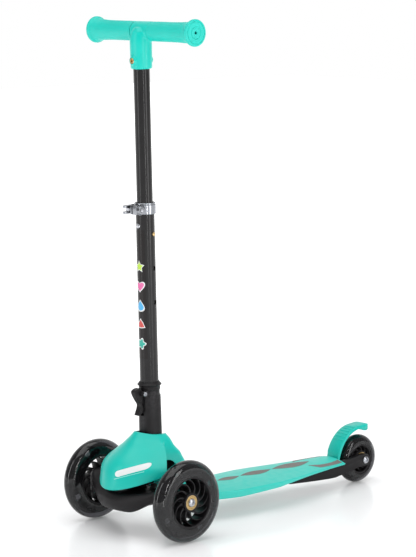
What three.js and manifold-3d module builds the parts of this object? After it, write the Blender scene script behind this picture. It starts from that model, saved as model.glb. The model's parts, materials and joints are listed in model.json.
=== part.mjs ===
// A child's three-wheeled kick scooter: two front wheels on a lean-to-steer truck, one rear wheel
// under a step brake, and a folding stem with a telescopic tube and a short T-shaped handlebar.
// Millimetres. +Z is up, the rider looks along -Y, +X is the rider's left.
import * as THREE from "three";
import { mergeVertices } from "three/addons/utils/BufferGeometryUtils.js";
import Module from "manifold-3d";

const wasm = await Module();
wasm.setup();

// ---- driving dimensions -------------------------------------------------------------------
const FRONT_WHEEL_RADIUS = 60;
const REAR_WHEEL_RADIUS = 38.5;
const HALF_TRACK = 100;
const WHEELBASE = 457;
const BODY_MIDDLE_Y = 215.6; // middle of the scooter's length, measured from the front axle
const TYRE_HALF_WIDTH = 12.5;
const AXLE_RADIUS = 4;
const BEARING_RADIUS = 11;
const BEARING_WIDTH = 7;
const FIT_GAP = 0.3;

const LEAN_AXIS_TILT = THREE.MathUtils.degToRad(45);
const LEAN_POINT = [0, 0, 58]; // a point on the kingpin's axis
const KINGPIN_RADIUS = 4;

const FOLD_PIN_Y = 21;
const FOLD_PIN_Z = 100;
const STEM_RAKE = THREE.MathUtils.degToRad(1.6); // the stem leans this far forward
const SECTOR_RADIUS = 28;
const HOUSING_HALF = 15.6;

const LOWER_TUBE_RADIUS = 13.75;
const LOWER_TUBE_BORE = 12.4;
const UPPER_TUBE_RADIUS = 11.8;
const UPPER_TUBE_BORE = 10.4;
const UPPER_TUBE_END = 190;
const HEIGHT_STEP = 50; // between the three height holes
const TUBE_HOLES = [337.5, 337.5 - HEIGHT_STEP, 337.5 - 2 * HEIGHT_STEP];
const BUTTON_RADIUS = 3;
const BUTTON_TURN = THREE.MathUtils.degToRad(16); // round the tube from +X towards +Y
const CLAMP_MIDDLE = 374.5;
const HANDLE_HEIGHT = 629; // bar centre above the fold pin, along the stem
const HANDLE_HALF_LENGTH = 109;
const HANDLE_OFFSET = 8; // bar centre behind the tube's axis
const CROSS_BOLT_HEIGHT = 588;

const DECK_CROWN_Z = 49;
const DECK_CROWN = 5.7; // how far the deck's edges lie below its middle
const BRAKE_PIVOT = [405.5, 36];

// ---- colours ------------------------------------------------------------------------------
const GREEN = { color: 0x14cdbd, roughness: 0.45, metalness: 0 };
const BLACK = { color: 0x1c1b1d, roughness: 0.6, metalness: 0 };
const TUBE_BLACK = { color: 0x161518, roughness: 0.25, metalness: 0.4 };
const GREY = { color: 0x8f8a86, roughness: 0.8, metalness: 0 };
const CLEAR = { color: 0x6c6a70, roughness: 0.15, metalness: 0 };
const STEEL = { color: 0xb9bcc2, roughness: 0.3, metalness: 0.9 };
const CHROME = { color: 0xdadde2, roughness: 0.12, metalness: 1 };
const BRASS = { color: 0xb5915a, roughness: 0.35, metalness: 0.9 };
const RUBBER = { color: 0x242424, roughness: 0.9, metalness: 0 };

// ---- geometry helpers ---------------------------------------------------------------------
// Merge shared vertices and turn the surface so that its faces point out.
function closed(geometry) {
  const bare = new THREE.BufferGeometry();
  bare.setAttribute("position", geometry.attributes.position);
  if (geometry.index) bare.setIndex(geometry.index);
  const merged = mergeVertices(bare, 1e-4);
  const place = merged.attributes.position;
  const index = merged.index.array;
  const [a, b, c] = [new THREE.Vector3(), new THREE.Vector3(), new THREE.Vector3()];
  const faces = [];
  let volume = 0;
  for (let i = 0; i < index.length; i += 3) {
    const corner = [index[i], index[i + 1], index[i + 2]];
    if (new Set(corner).size < 3) continue;
    faces.push(corner);
    a.fromBufferAttribute(place, corner[0]);
    b.fromBufferAttribute(place, corner[1]);
    c.fromBufferAttribute(place, corner[2]);
    volume += a.dot(b.cross(c));
  }
  if (volume < 0) faces.forEach((corner) => corner.reverse());
  merged.setIndex(faces.flat());
  return merged;
}

function toSolid(geometry) {
  const merged = closed(geometry);
  const vertProperties = new Float32Array(merged.attributes.position.array);
  const triVerts = new Uint32Array(merged.index.array);
  return new wasm.Manifold(new wasm.Mesh({ numProp: 3, vertProperties, triVerts }));
}

function toGeometry(solid) {
  const mesh = solid.getMesh();
  const geometry = new THREE.BufferGeometry();
  geometry.setAttribute("position", new THREE.BufferAttribute(mesh.vertProperties, 3));
  geometry.setIndex(new THREE.BufferAttribute(mesh.triVerts, 1));
  return geometry;
}

const join = (first, ...rest) =>
  toGeometry(rest.reduce((whole, piece) => whole.add(toSolid(piece)), toSolid(first)));
const cut = (first, ...tools) =>
  toGeometry(tools.reduce((whole, tool) => whole.subtract(toSolid(tool)), toSolid(first)));
const shared = (first, second) => toGeometry(toSolid(first).intersect(toSolid(second)));

function box(low, high) {
  const size = high.map((value, i) => value - low[i]);
  const geometry = new THREE.BoxGeometry(...size);
  return geometry.translate(...low.map((value, i) => value + size[i] / 2));
}

// A round bar from one point to another.
function bar(radius, from, to, segments = 16) {
  const start = new THREE.Vector3(...from);
  const along = new THREE.Vector3(...to).sub(start);
  const geometry = new THREE.CylinderGeometry(radius, radius, along.length(), segments);
  const turn = new THREE.Quaternion().setFromUnitVectors(
    new THREE.Vector3(0, 1, 0), along.clone().normalize());
  geometry.applyQuaternion(turn);
  return geometry.translate(...start.addScaledVector(along, 0.5).toArray());
}

// A turned piece: the profile is [radius, position along the axis] pairs.
function turned(profile, axis = "z", segments = 24) {
  const points = profile.map(([radius, along]) => new THREE.Vector2(radius, along));
  const geometry = closed(new THREE.LatheGeometry(points, segments));
  return axis === "x" ? geometry.rotateZ(-Math.PI / 2) : geometry.rotateX(Math.PI / 2);
}

// A turned ring with a rectangular section.
function ring(inner, outer, low, high, axis = "z", segments = 20) {
  return turned([[inner, low], [outer, low], [outer, high], [inner, high], [inner, low]],
    axis, segments);
}

function outline(points) {
  return new THREE.Shape(points.map(([u, v]) => new THREE.Vector2(u, v)));
}

// A plate whose outline lies in the YZ plane, between two places along X.
function plateX(points, lowX, highX) {
  const geometry = new THREE.ExtrudeGeometry(outline(points),
    { depth: highX - lowX, bevelEnabled: false });
  const turn = new THREE.Matrix4().makeBasis(new THREE.Vector3(0, 1, 0),
    new THREE.Vector3(0, 0, 1), new THREE.Vector3(1, 0, 0));
  return geometry.applyMatrix4(turn).translate(lowX, 0, 0);
}

// A plate whose outline lies in the XY plane, between two heights.
function plateZ(points, lowZ, highZ) {
  const geometry = new THREE.ExtrudeGeometry(outline(points),
    { depth: highZ - lowZ, bevelEnabled: false });
  return geometry.translate(0, 0, lowZ);
}

// A closed skin through matching loops of points, with flat ends.
function loft(loops) {
  const count = loops[0].length;
  const positions = loops.flat(2);
  const index = [];
  for (let i = 0; i + 1 < loops.length; i += 1) {
    for (let j = 0; j < count; j += 1) {
      const next = (j + 1) % count;
      const [a, b] = [i * count + j, i * count + next];
      const [c, d] = [(i + 1) * count + next, (i + 1) * count + j];
      index.push(a, b, c, a, c, d);
    }
  }
  const endCap = (loop, offset, reversed) => {
    const spread = [0, 1, 2].map((k) => {
      const values = loop.map((point) => point[k]);
      return Math.max(...values) - Math.min(...values);
    });
    const [u, v] = [0, 1, 2].filter((k) => k !== spread.indexOf(Math.min(...spread)));
    const flat = loop.map((point) => new THREE.Vector2(point[u], point[v]));
    const winding = Math.sign(THREE.ShapeUtils.area(flat));
    for (const face of THREE.ShapeUtils.triangulateShape(flat, [])) {
      const turn = Math.sign(THREE.ShapeUtils.area(face.map((k) => flat[k])));
      const ordered = (turn === winding) !== reversed ? face : [...face].reverse();
      index.push(...ordered.map((k) => k + offset));
    }
  };
  endCap(loops[0], 0, true);
  endCap(loops.at(-1), (loops.length - 1) * count, false);
  const geometry = new THREE.BufferGeometry();
  geometry.setAttribute("position", new THREE.Float32BufferAttribute(positions, 3));
  geometry.setIndex(index);
  return closed(geometry);
}

function circlePoints(centre, radius, fromDegrees, toDegrees, steps) {
  return Array.from({ length: steps + 1 }, (_, i) => {
    const angle = THREE.MathUtils.degToRad(fromDegrees + ((toDegrees - fromDegrees) * i) / steps);
    return [centre[0] + radius * Math.cos(angle), centre[1] + radius * Math.sin(angle)];
  });
}

const scooter = new THREE.Group();

function add(parent, name, geometry, finish) {
  const mesh = new THREE.Mesh(geometry, new THREE.MeshStandardMaterial(finish));
  mesh.name = name;
  parent.add(mesh);
  return mesh;
}

// ---- wheels -------------------------------------------------------------------------------
// A clear cast tyre closed around the rim flange of a spoked core.
function tyre(outerRadius, rimRadius, flangeRadius, halfWidth) {
  const sideHeight = outerRadius - halfWidth;
  const tread = circlePoints([sideHeight, 0], halfWidth, -75, 75, 6);
  const [inner, groove] = [rimRadius + FIT_GAP, flangeRadius + FIT_GAP];
  const grooveHalf = 3 + FIT_GAP;
  const wall = halfWidth - 0.5;
  return turned([[inner, -wall], ...tread, [inner, wall], [inner, grooveHalf],
    [groove, grooveHalf], [groove, -grooveHalf], [inner, -grooveHalf], [inner, -wall]], "x", 26);
}

// A moulded core: bearing hub, swept spokes, rim and a flange that keys into the tyre.
function wheelCore(hubRadius, rimRadius, flangeRadius, halfWidth, spokes) {
  const seat = BEARING_RADIUS + FIT_GAP;
  const hub = turned([[seat, -halfWidth], [hubRadius, -halfWidth], [hubRadius, halfWidth],
    [seat, halfWidth], [seat, 4], [AXLE_RADIUS + 2, 4], [AXLE_RADIUS + 2, -4], [seat, -4],
    [seat, -halfWidth]], "x", 16);
  const wall = halfWidth - 1;
  const rim = turned([[rimRadius - 3, -wall], [rimRadius, -wall], [rimRadius, -3],
    [flangeRadius, -3], [flangeRadius, 3], [rimRadius, 3], [rimRadius, wall],
    [rimRadius - 3, wall], [rimRadius - 3, -wall]], "x", 26);
  const spokeHalf = halfWidth * 0.62;
  const spokeOutline = [];
  const steps = 2;
  for (const side of [1, -1]) {
    for (let i = 0; i <= steps; i += 1) {
      const share = side > 0 ? i / steps : 1 - i / steps;
      const radius = hubRadius - 1 + share * (rimRadius - hubRadius - 0.5);
      const sweep = 0.75 * share * share + (side * 1.5) / radius;
      spokeOutline.push([radius * Math.cos(sweep), radius * Math.sin(sweep)]);
    }
  }
  const blades = Array.from({ length: spokes }, (_, i) =>
    plateX(spokeOutline, -spokeHalf, spokeHalf).rotateX((i * 2 * Math.PI) / spokes));
  return join(hub, rim, ...blades);
}

const bearing = (centre) => ring(AXLE_RADIUS + FIT_GAP, BEARING_RADIUS,
  centre - BEARING_WIDTH / 2, centre + BEARING_WIDTH / 2, "x", 16);

// A round-headed bolt along X; outward is the side its head faces.
function axleBolt(headAt, tipAt, headRadius, headHeight) {
  const outward = Math.sign(headAt - tipAt);
  const head = bar(headRadius, [headAt, 0, 0], [headAt + outward * headHeight, 0, 0]);
  const socket = bar(headRadius * 0.5, [headAt + outward * 1.2, 0, 0],
    [headAt + outward * (headHeight + 1), 0, 0], 6);
  const shank = bar(AXLE_RADIUS, [headAt + outward, 0, 0], [tipAt, 0, 0]);
  return cut(join(head, shank), socket);
}

function frontWheel(side, label) {
  const wheel = new THREE.Group();
  wheel.position.set(side * HALF_TRACK, 0, FRONT_WHEEL_RADIUS);
  add(wheel, `front_tyre_${label}`, tyre(FRONT_WHEEL_RADIUS, 38, 50, TYRE_HALF_WIDTH), CLEAR);
  add(wheel, `front_core_${label}`, wheelCore(14, 38, 50, 12.6, 11), BLACK);
  add(wheel, `front_bearing_outer_${label}`, bearing(side * 8), BRASS);
  add(wheel, `front_bearing_inner_${label}`, bearing(-side * 8), BRASS);
  add(wheel, `front_axle_bolt_${label}`, axleBolt(side * 11.8, -side * 44, 6.2, 2.9), STEEL);
  scooter.add(wheel);
}

function rearWheel() {
  const wheel = new THREE.Group();
  wheel.position.set(0, WHEELBASE, REAR_WHEEL_RADIUS);
  add(wheel, "rear_tyre", tyre(REAR_WHEEL_RADIUS, 24, 31, 12), CLEAR);
  add(wheel, "rear_core", wheelCore(13.5, 24, 31, 11.4, 9), BLACK);
  add(wheel, "rear_bearing_left", bearing(9), BRASS);
  add(wheel, "rear_bearing_right", bearing(-9), BRASS);
  add(wheel, "rear_axle_bolt", axleBolt(21.3, -25.4, 5.6, 3), STEEL);
  const nut = cut(bar(6.4, [-21.3, 0, 0], [-26, 0, 0], 6),
    bar(AXLE_RADIUS + FIT_GAP, [-20, 0, 0], [-27, 0, 0]));
  add(wheel, "rear_axle_nut", nut, STEEL);
  scooter.add(wheel);
}

// ---- steering truck -----------------------------------------------------------------------
const leanAxis = [0, -Math.sin(LEAN_AXIS_TILT), Math.cos(LEAN_AXIS_TILT)];
const onKingpin = (along) => LEAN_POINT.map((value, i) => value + leanAxis[i] * along);
const alongKingpin = (radius, from, to, segments = 18) =>
  bar(radius, onKingpin(from), onKingpin(to), segments);

// Half of the truck's shape: [x, front y, bottom z, top z, rear y].
const TRUCK_SECTIONS = [
  [0, -57.5, 38, 63, 26], [15, -56.5, 38, 63.4, 26], [30, -53.2, 38.6, 64.4, 25],
  [43, -48.6, 43.5, 66, 24], [54, -43.6, 51, 68.4, 23], [65, -38, 57, 72, 23],
  [72, -34, 57.5, 75.5, 26], [78, -30, 50, 79, 27.5], [84, -26, 42, 80, 27.5],
];
const AXLE_COVER_Z = 52; // the truck's underside around the axle bolts

function truckLoop([x, front, bottom, top, rear]) {
  const middle = front + (rear - front) * 0.5;
  const under = Math.min(bottom + 0.14 * Math.abs(x), AXLE_COVER_Z);
  return [
    [x, front + 8, bottom], [x, front + 2.4, bottom + 2.5], [x, front, bottom + 9],
    [x, front + 0.5, top - 5], [x, front + 2.5, top - 1], [x, front + 7, top + 1],
    [x, middle, top + 1.5], [x, rear - 6, top], [x, rear, top - 6],
    [x, rear, under + 6], [x, rear - 6, under], [x, middle, under],
  ];
}

function truck() {
  const mirrored = TRUCK_SECTIONS.slice(1).reverse().map(([x, ...rest]) => [-x, ...rest]);
  const beam = loft([...mirrored, ...TRUCK_SECTIONS].map(truckLoop));
  const bosses = [-1, 1].map((side) =>
    bar(6.5, [side * 83, 0, FRONT_WHEEL_RADIUS], [side * 88.2, 0, FRONT_WHEEL_RADIUS]));
  const boltBores = [-1, 1].map((side) =>
    bar(AXLE_RADIUS + FIT_GAP, [side * 55.5, 0, FRONT_WHEEL_RADIUS],
      [side * 90, 0, FRONT_WHEEL_RADIUS]));
  const pocket = alongKingpin(11.8, -10, 40);
  const shankBore = alongKingpin(KINGPIN_RADIUS + FIT_GAP, -40, 0);
  const headRecess = alongKingpin(9, -50, -21.7);
  return cut(join(beam, ...bosses), ...boltBores, pocket, shankBore, headRecess);
}

function steeringTruck() {
  add(scooter, "front_truck", truck(), BLACK);
  const kingpin = join(alongKingpin(8, -26.5, -22), alongKingpin(KINGPIN_RADIUS, -23, 38.5));
  add(scooter, "kingpin", kingpin, STEEL);
  const nut = cut(alongKingpin(7.5, 33, 37.8, 6), alongKingpin(KINGPIN_RADIUS + FIT_GAP, 30, 40));
  add(scooter, "kingpin_nut", nut, STEEL);
  const bushing = cut(alongKingpin(11, -9.7, 5.7), alongKingpin(KINGPIN_RADIUS + 0.6, -12, 8));
  add(scooter, "centring_bushing", bushing, RUBBER);
  for (const [side, label] of [[1, "left"], [-1, "right"]]) {
    const bumper = turned([[0, 66.2], [6, 66.2], [5.2, 71.6], [4, 72.6], [0, 72.6]], "z", 20);
    add(scooter, `lean_bumper_${label}`, bumper.translate(side * 28, 2, 0), RUBBER);
  }
}

// ---- chassis ------------------------------------------------------------------------------
// The green deck's [y, half width, skirt bottom z, plate thickness].
const DECK_SECTIONS = [
  [72, 33, 32, 3.4], [100, 36.5, 32, 3.4], [121, 40.5, 32, 3.4], [142, 47, 32, 3.4],
  [165, 51.3, 32.4, 3.4], [229, 54, 34.8, 3.4], [250, 52.8, 36.4, 3.4],
  [283, 48, 38.2, 3.2], [312, 43, 39.2, 3], [341, 39, 40, 2.8], [366, 36.6, 41, 2.6],
  [384, 34.4, 41.3, 2.4], [399, 32.2, 41.3, 2.4],
];
const deckTop = (x, half) => DECK_CROWN_Z - DECK_CROWN * (x / half) ** 2;

const CHASSIS_HALF = 21;
// The chassis' underside behind the steering truck, [y, z].
const UNDERSIDE = [[75, 31], [262, 31], [281, 27.5], [288, 25.5], [309, 24], [331, 22.5],
  [353, 21.3], [375, 20.3], [389, 20.3], [400, 22]];

function chassis() {
  const rail = plateX([
    [-36, 69.5], [36, 69.5], [42, 66], [62, 38], ...UNDERSIDE,
    [400, 40], [76, 40], [66, 46], [54, 80], [-36, 80], [-38, 76],
  ], -HOUSING_HALF, HOUSING_HALF);
  const wings = box([-33, -9, 76.7], [33, 13, 80]);
  const arms = plateX([[90, 31], ...UNDERSIDE.slice(1), [425, 25.5], [443, 29.5],
    ...circlePoints([WHEELBASE, 38.5], 10, -65, 90, 8), [443, 47.7], [425, 45.6], [407, 43.5],
    [403, 40], [90, 40]], -CHASSIS_HALF, CHASSIS_HALF);
  const spine = box([-5, 78, 38], [5, 396, 44.5]);
  const wheelWell = box([-13.2, 396.5, 0], [13.2, 500, 100]);
  const boss = shared(alongKingpin(11, 6, 50), box([-20, -36, 50], [20, 30, 80]));
  const pinBore = alongKingpin(KINGPIN_RADIUS + FIT_GAP, 0, 60);
  const nutSeat = alongKingpin(9.5, 32.6, 60);
  const bushingRoom = alongKingpin(11.8, -10, 6);
  const brakeBore = bar(2.8, [-17.3, ...BRAKE_PIVOT], [17.3, ...BRAKE_PIVOT], 20);
  const axleBore = bar(AXLE_RADIUS + FIT_GAP, [-30, WHEELBASE, REAR_WHEEL_RADIUS],
    [30, WHEELBASE, REAR_WHEEL_RADIUS]);
  return cut(join(rail, wings, arms, spine, boss), wheelWell, pinBore, nutSeat, bushingRoom,
    brakeBore, axleBore);
}

function deckLoop([y, half, skirt, thickness]) {
  const across = [-1, -0.96, -0.6, 0, 0.6, 0.96, 1];
  const top = across.map((share) => {
    const edgeDrop = Math.abs(share) === 1 ? 1.3 : 0;
    return [share * half, y, deckTop(share * half, half) - edgeDrop];
  });
  const inner = half - 3.6;
  const under = [1, 0, -1].map((share) =>
    [share * inner, y, deckTop(share * inner, half) - thickness]);
  return [...top, [half - 0.8, y, skirt], [inner, y, skirt], ...under,
    [-inner, y, skirt], [-half + 0.8, y, skirt]];
}

// A thin layer of the deck's top surface, this deep.
function deckSkin(depth) {
  const across = [-0.96, -0.6, 0, 0.6, 0.96];
  return loft(DECK_SECTIONS.map(([y, half]) => [
    ...across.map((share) => [share * half, y, deckTop(share * half, half)]),
    ...[...across].reverse().map((share) => [share * half, y, deckTop(share * half, half) - depth]),
  ]));
}

// Anti-slip inlays: a chain of lenses on the middle line and a leaf on each rear edge.
const LENSES = [[112, 150, 6], [153.5, 199, 8], [201.5, 266, 10.2], [268.5, 350, 12]];
const LEAF = [[16.5, 331], [24, 337.5], [30.5, 343.5], [31.6, 357], [31.2, 371], [29.5, 387],
  [28.4, 396], [17.4, 396], [20.4, 387], [22.8, 372], [22.2, 351], [18.8, 339]];

function lens([start, end, half], shrink) {
  const steps = 6;
  const edge = (side) => Array.from({ length: steps - 1 }, (_, i) => {
    const share = (i + 1) / steps;
    return [side * (half * Math.sin(Math.PI * share) - shrink), start + (end - start) * share];
  });
  const tips = [[0, start + shrink * 4], [0, end - shrink * 4]];
  return [tips[0], ...edge(1), tips[1], ...edge(-1).reverse()];
}

// The same outline, this far inside; its points run anticlockwise.
function shrunk(points, gap) {
  return points.map((point, i) => {
    const before = points.at(i - 1);
    const after = points[(i + 1) % points.length];
    const [first, second] = [[before, point], [point, after]].map(([from, to]) => {
      const length = Math.hypot(to[0] - from[0], to[1] - from[1]);
      return [(from[1] - to[1]) / length, (to[0] - from[0]) / length];
    });
    const reach = gap / (1 + first[0] * second[0] + first[1] * second[1]);
    return [point[0] + reach * (first[0] + second[0]), point[1] + reach * (first[1] + second[1])];
  });
}

function deckAndInlays() {
  const deepSkin = deckSkin(1.5);
  const thinSkin = deckSkin(1.1);
  let deck = loft(DECK_SECTIONS.map(deckLoop));
  const inlay = (name, wide, narrow) => {
    const pocket = shared(deepSkin, plateZ(wide, 38, 60));
    deck = cut(deck, pocket.translate(0, 0, 0.05));
    add(scooter, name, shared(thinSkin, plateZ(narrow, 38, 60)), GREY);
  };
  LENSES.forEach((sizes, i) => inlay(`deck_inlay_${i + 1}`, lens(sizes, 0), lens(sizes, 0.3)));
  for (const [side, label] of [[1, "left"], [-1, "right"]]) {
    const mirrored = ([x, y]) => [side * x, y];
    inlay(`tail_inlay_${label}`, LEAF.map(mirrored), shrunk(LEAF, 0.35).map(mirrored));
  }
  add(scooter, "deck", deck, GREEN);
}

// ---- front cover --------------------------------------------------------------------------
// [z, front y on the middle line, ridge x, ridge y, side wall x, rear y]
const COVER_SECTIONS = [
  [50, -64, 66.5, -8, 35.5, 94], [72, -64, 66.5, -8, 36, 82], [84, -62.8, 66.5, -8, 36, 74],
  [98, -59, 66.5, -8, 36, 63], [107, -54, 62, -3.5, 35.6, 57], [115, -46, 54, 3, 35, 52.5],
  [122, -36, 47, 8, 33.6, 47], [128, -28, 40.5, 12, 32, 43], [134, -21.5, 34.5, 15, 30, 41],
  [140, -15, 28, 16, 27.4, 39], [147.5, -8.4, 20.4, 14, 21.6, 36],
];

// The cover's rim dips towards the rear.
function sunk([x, y, z]) {
  const back = THREE.MathUtils.clamp((y + 8) / 22, 0, 1);
  const height = THREE.MathUtils.clamp((z - 115) / 32.5, 0, 1);
  return [x, y, z - 5 * back * height];
}

function coverLoop([z, front, ridgeX, ridgeY, sideX, rear], inset) {
  const steps = 6;
  const [nose, wingX, wingY] = [front + inset, ridgeX - inset * 1.4, ridgeY - inset * 0.4];
  const prow = Array.from({ length: steps + 1 }, (_, i) => {
    const share = -1 + (2 * i) / steps;
    return [share * wingX, nose + (wingY - nose) * share * share, z];
  });
  const wall = sideX - inset;
  const back = rear - inset;
  const stepBack = Math.min(ridgeY + 5 - inset, back - 13);
  const left = [[wall + 0.2, stepBack, z], [wall, back - 12, z], [wall - 2.6, back - 6, z],
    [wall - 8, back - 1.6, z], [wall * 0.4, back, z]];
  const right = [...left].reverse().map(([x, y, height]) => [-x, y, height]);
  return [...prow, ...left, ...right].map(sunk);
}

function frontCover() {
  const wall = 2.4;
  const outer = loft(COVER_SECTIONS.map((row) => coverLoop(row, 0)));
  const hollow = COVER_SECTIONS.map(([z, ...rest], i) => {
    const last = i === COVER_SECTIONS.length - 1;
    return coverLoop([i === 0 ? z - 2 : z - (last ? wall : 0), ...rest], wall);
  });
  const lowerEdge = Array.from({ length: 8 }, (_, i) => {
    const x = -70 + 20 * i;
    return [x, 70 + 0.0053 * x * x];
  });
  const noseCut = new THREE.ExtrudeGeometry(outline([[-70, 30], ...lowerEdge, [70, 30]]),
    { depth: 90, bevelEnabled: false }).rotateX(Math.PI / 2).translate(0, 10, 0);
  const arch = plateX([[0, 40], [-1, 92], ...circlePoints([21, 87], 20, 170, 0, 10), [44, 76],
    [47, 40]], -80, 80);
  const slotHalf = HOUSING_HALF + 0.9;
  const slot = box([-slotHalf, 13, 78], [slotHalf, 120, 160]);
  const opening = bar(17.5, [0, 13, 78], [0, 13, 160], 28);
  return cut(outer, loft(hollow), noseCut, arch, slot, opening);
}

// ---- fold joint ---------------------------------------------------------------------------
function foldJoint() {
  const base = box([-16, -5, 80.3], [16, 52, 82.5]);
  const tongue = plateX([[FOLD_PIN_Y - 20, 81.5], [FOLD_PIN_Y + 22, 81.5],
    ...circlePoints([FOLD_PIN_Y, FOLD_PIN_Z], SECTOR_RADIUS, -20, 200, 14)], -4.5, 4.5);
  const bore = bar(4.3, [-10, FOLD_PIN_Y, FOLD_PIN_Z], [10, FOLD_PIN_Y, FOLD_PIN_Z]);
  add(scooter, "fold_bracket", cut(join(base, tongue), bore), BLACK);
  const pin = turned([[0, -16.8], [3.4, -16.8], [4, -16.2], [4, 16.2], [3.4, 16.8], [0, 16.8]],
    "x", 24);
  add(scooter, "fold_pin", pin.translate(0, FOLD_PIN_Y, FOLD_PIN_Z), STEEL);
}

// ---- brake --------------------------------------------------------------------------------
const FENDER_RADIUS = 55; // outside, about the rear axle
const FENDER_INSIDE = 50.4;
const FENDER_HALF = 13.5;
const EAR_HALF = 12.7; // where the fender runs between the chassis' arms

function fenderProfile() {
  const axle = [WHEELBASE, REAR_WHEEL_RADIUS];
  const tail = [[6, 55.6], [12, 56], [17, 55], [19.4, 52.6], [19.4, 49], [17, 46.6], [12, 45.6],
    [5, 46], [-3, 48.4]].map(([y, z]) => [axle[0] + y, axle[1] + z]);
  return [...circlePoints(axle, FENDER_RADIUS, 174, 90, 10), ...tail,
    ...circlePoints(axle, FENDER_INSIDE, 100, 172, 8), ...circlePoints(BRAKE_PIVOT, 4.8, 30, -190, 7)];
}

function brake() {
  const edge = [[EAR_HALF, 395], [EAR_HALF, 404], [FENDER_HALF, 409], [FENDER_HALF, 470],
    [12, 474.6], [8, 477]];
  const plan = [...edge, ...[...edge].reverse().map(([x, y]) => [-x, y])];
  const wide = shared(plateX(fenderProfile(), -FENDER_HALF, FENDER_HALF), plateZ(plan, 52, 110));
  const low = shared(plateX(fenderProfile(), -EAR_HALF, EAR_HALF),
    box([-EAR_HALF, 395, 20], [EAR_HALF, 470, 53]));
  const springRoom = box([-5.4, 396, 29], [5.4, 411, 41.6]);
  const pinBore = bar(2.8, [-20, ...BRAKE_PIVOT], [20, ...BRAKE_PIVOT], 20);
  const ribs = [108, 115, 122, 129, 136, 143].map((degrees) => {
    const angle = THREE.MathUtils.degToRad(degrees);
    const radius = FENDER_RADIUS - 0.3;
    const place = [WHEELBASE + radius * Math.cos(angle), REAR_WHEEL_RADIUS + radius * Math.sin(angle)];
    return bar(1.2, [-11, ...place], [11, ...place], 8);
  });
  const fender = cut(join(wide, low, ...ribs), springRoom, pinBore);
  add(scooter, "brake_fender", fender, GREEN);
  add(scooter, "brake_pin", bar(2.5, [-17, ...BRAKE_PIVOT], [17, ...BRAKE_PIVOT], 20), STEEL);
  const spring = ring(2.9, 4.5, -5, 5, "x", 20).translate(0, ...BRAKE_PIVOT);
  add(scooter, "brake_spring", spring, STEEL);
}

// ---- stem ---------------------------------------------------------------------------------
// Everything from here on stands on the fold pin: z is measured from it along the stem.
const stem = new THREE.Group();
stem.position.set(0, FOLD_PIN_Y, FOLD_PIN_Z);
stem.rotation.x = STEM_RAKE;
scooter.add(stem);

const LATCH_PIN = [-18.7, 104.5];
const TUBE_SEAT = 84;

function roundedSquare(half, radius, z) {
  const corners = [[1, 1, 0], [-1, 1, 90], [-1, -1, 180], [1, -1, 270]];
  return corners.flatMap(([u, v, start]) => circlePoints(
    [u * (half - radius), v * (half - radius)], radius, start, start + 90, 4))
    .map(([x, y]) => [x, y, z]);
}

function stemSocket() {
  const block = loft([[-2, HOUSING_HALF], [60, 15.3], [100, 14.9]]
    .map(([z, half]) => roundedSquare(half, half - 3.2, z)));
  const foot = bar(HOUSING_HALF, [-HOUSING_HALF, 0, 0], [HOUSING_HALF, 0, 0], 28);
  const neck = turned([[0, 99], [14.9, 99], [14.9, 108], [0, 108]], "z", 24);
  const ears = [-1, 1].map((side) => {
    const plate = plateX([[-12, 98], ...circlePoints(LATCH_PIN, 3.8, 250, 90, 5), [-12, 108]],
      5.2, 11);
    return side > 0 ? plate : plate.scale(-1, 1, 1);
  });
  const tongueSlot = bar(SECTOR_RADIUS + 1.2, [-4.9, 0, 0], [4.9, 0, 0], 28);
  const footSlot = box([-4.9, -20, -20], [4.9, 20, 20]);
  const plungerBore = bar(5.2, [0, 0, 20], [0, 0, 90], 14);
  const tubeBore = bar(LOWER_TUBE_RADIUS + FIT_GAP, [0, 0, TUBE_SEAT], [0, 0, 130], 20);
  const window = box([-3.4, -20, 70], [3.4, 0, 82]);
  const pinBore = bar(4.3, [-20, 0, 0], [20, 0, 0]);
  const latchBore = bar(1.9, [-20, ...LATCH_PIN], [20, ...LATCH_PIN], 12);
  return cut(join(block, foot, neck, ...ears),
    tongueSlot, footSlot, plungerBore, tubeBore, window, pinBore, latchBore);
}

function latch() {
  const shape = [...circlePoints(LATCH_PIN, 3.1, -75, 60, 4), [-19.2, 110.6], [-21.4, 112.4],
    [-27, 112], [-31.4, 109.6], [-32.2, 106.4], [-30.5, 102], [-26.5, 95], [-22.8, 89.6],
    [-21.8, 86.6], [-22.8, 82], [-25.4, 76], [-27, 73], [-26, 72], [-22, 73.4], [-18.4, 76],
    [-16.2, 79.6], [-16, 82.4], [-17.6, 86], [-19.2, 89.6], [-18, 95]];
  const lever = plateX(shape, -4.6, 4.6);
  const nose = box([-2.6, -18, 75], [2.6, -8.6, 79]);
  const bore = bar(1.9, [-20, ...LATCH_PIN], [20, ...LATCH_PIN], 12);
  add(stem, "latch_lever", cut(join(lever, nose), bore), BLACK);
  const heads = [-1, 1].map((side) =>
    bar(3.4, [side * 11.3, ...LATCH_PIN], [side * 12.7, ...LATCH_PIN], 16));
  const pin = bar(1.6, [-12, ...LATCH_PIN], [12, ...LATCH_PIN], 12);
  add(stem, "latch_pin", join(pin, ...heads), CHROME);
  const plunger = turned([[0, SECTOR_RADIUS + 0.5], [3.4, SECTOR_RADIUS + 0.5],
    [4.8, SECTOR_RADIUS + 2.5], [4.8, 66], [0, 66]], "z", 24);
  add(stem, "lock_plunger", plunger, STEEL);
  add(stem, "lock_spring", ring(2.9, 4.6, 71.8, 83.5, "z", 20), STEEL);
}

function socketCollar() {
  const inner = LOWER_TUBE_RADIUS + FIT_GAP;
  return turned([[inner, 108.4], [15.9, 108.4], [16.1, 114.2], [17.8, 115.2], [17.8, 116.2],
    [16.8, 116.8], [15, 119.4], [inner, 120.4], [inner, 108.4]], "z", 24);
}

const buttonHole = (z) => bar(BUTTON_RADIUS + 0.4, [5, 0, z], [20, 0, z], 10).rotateZ(BUTTON_TURN);

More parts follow.
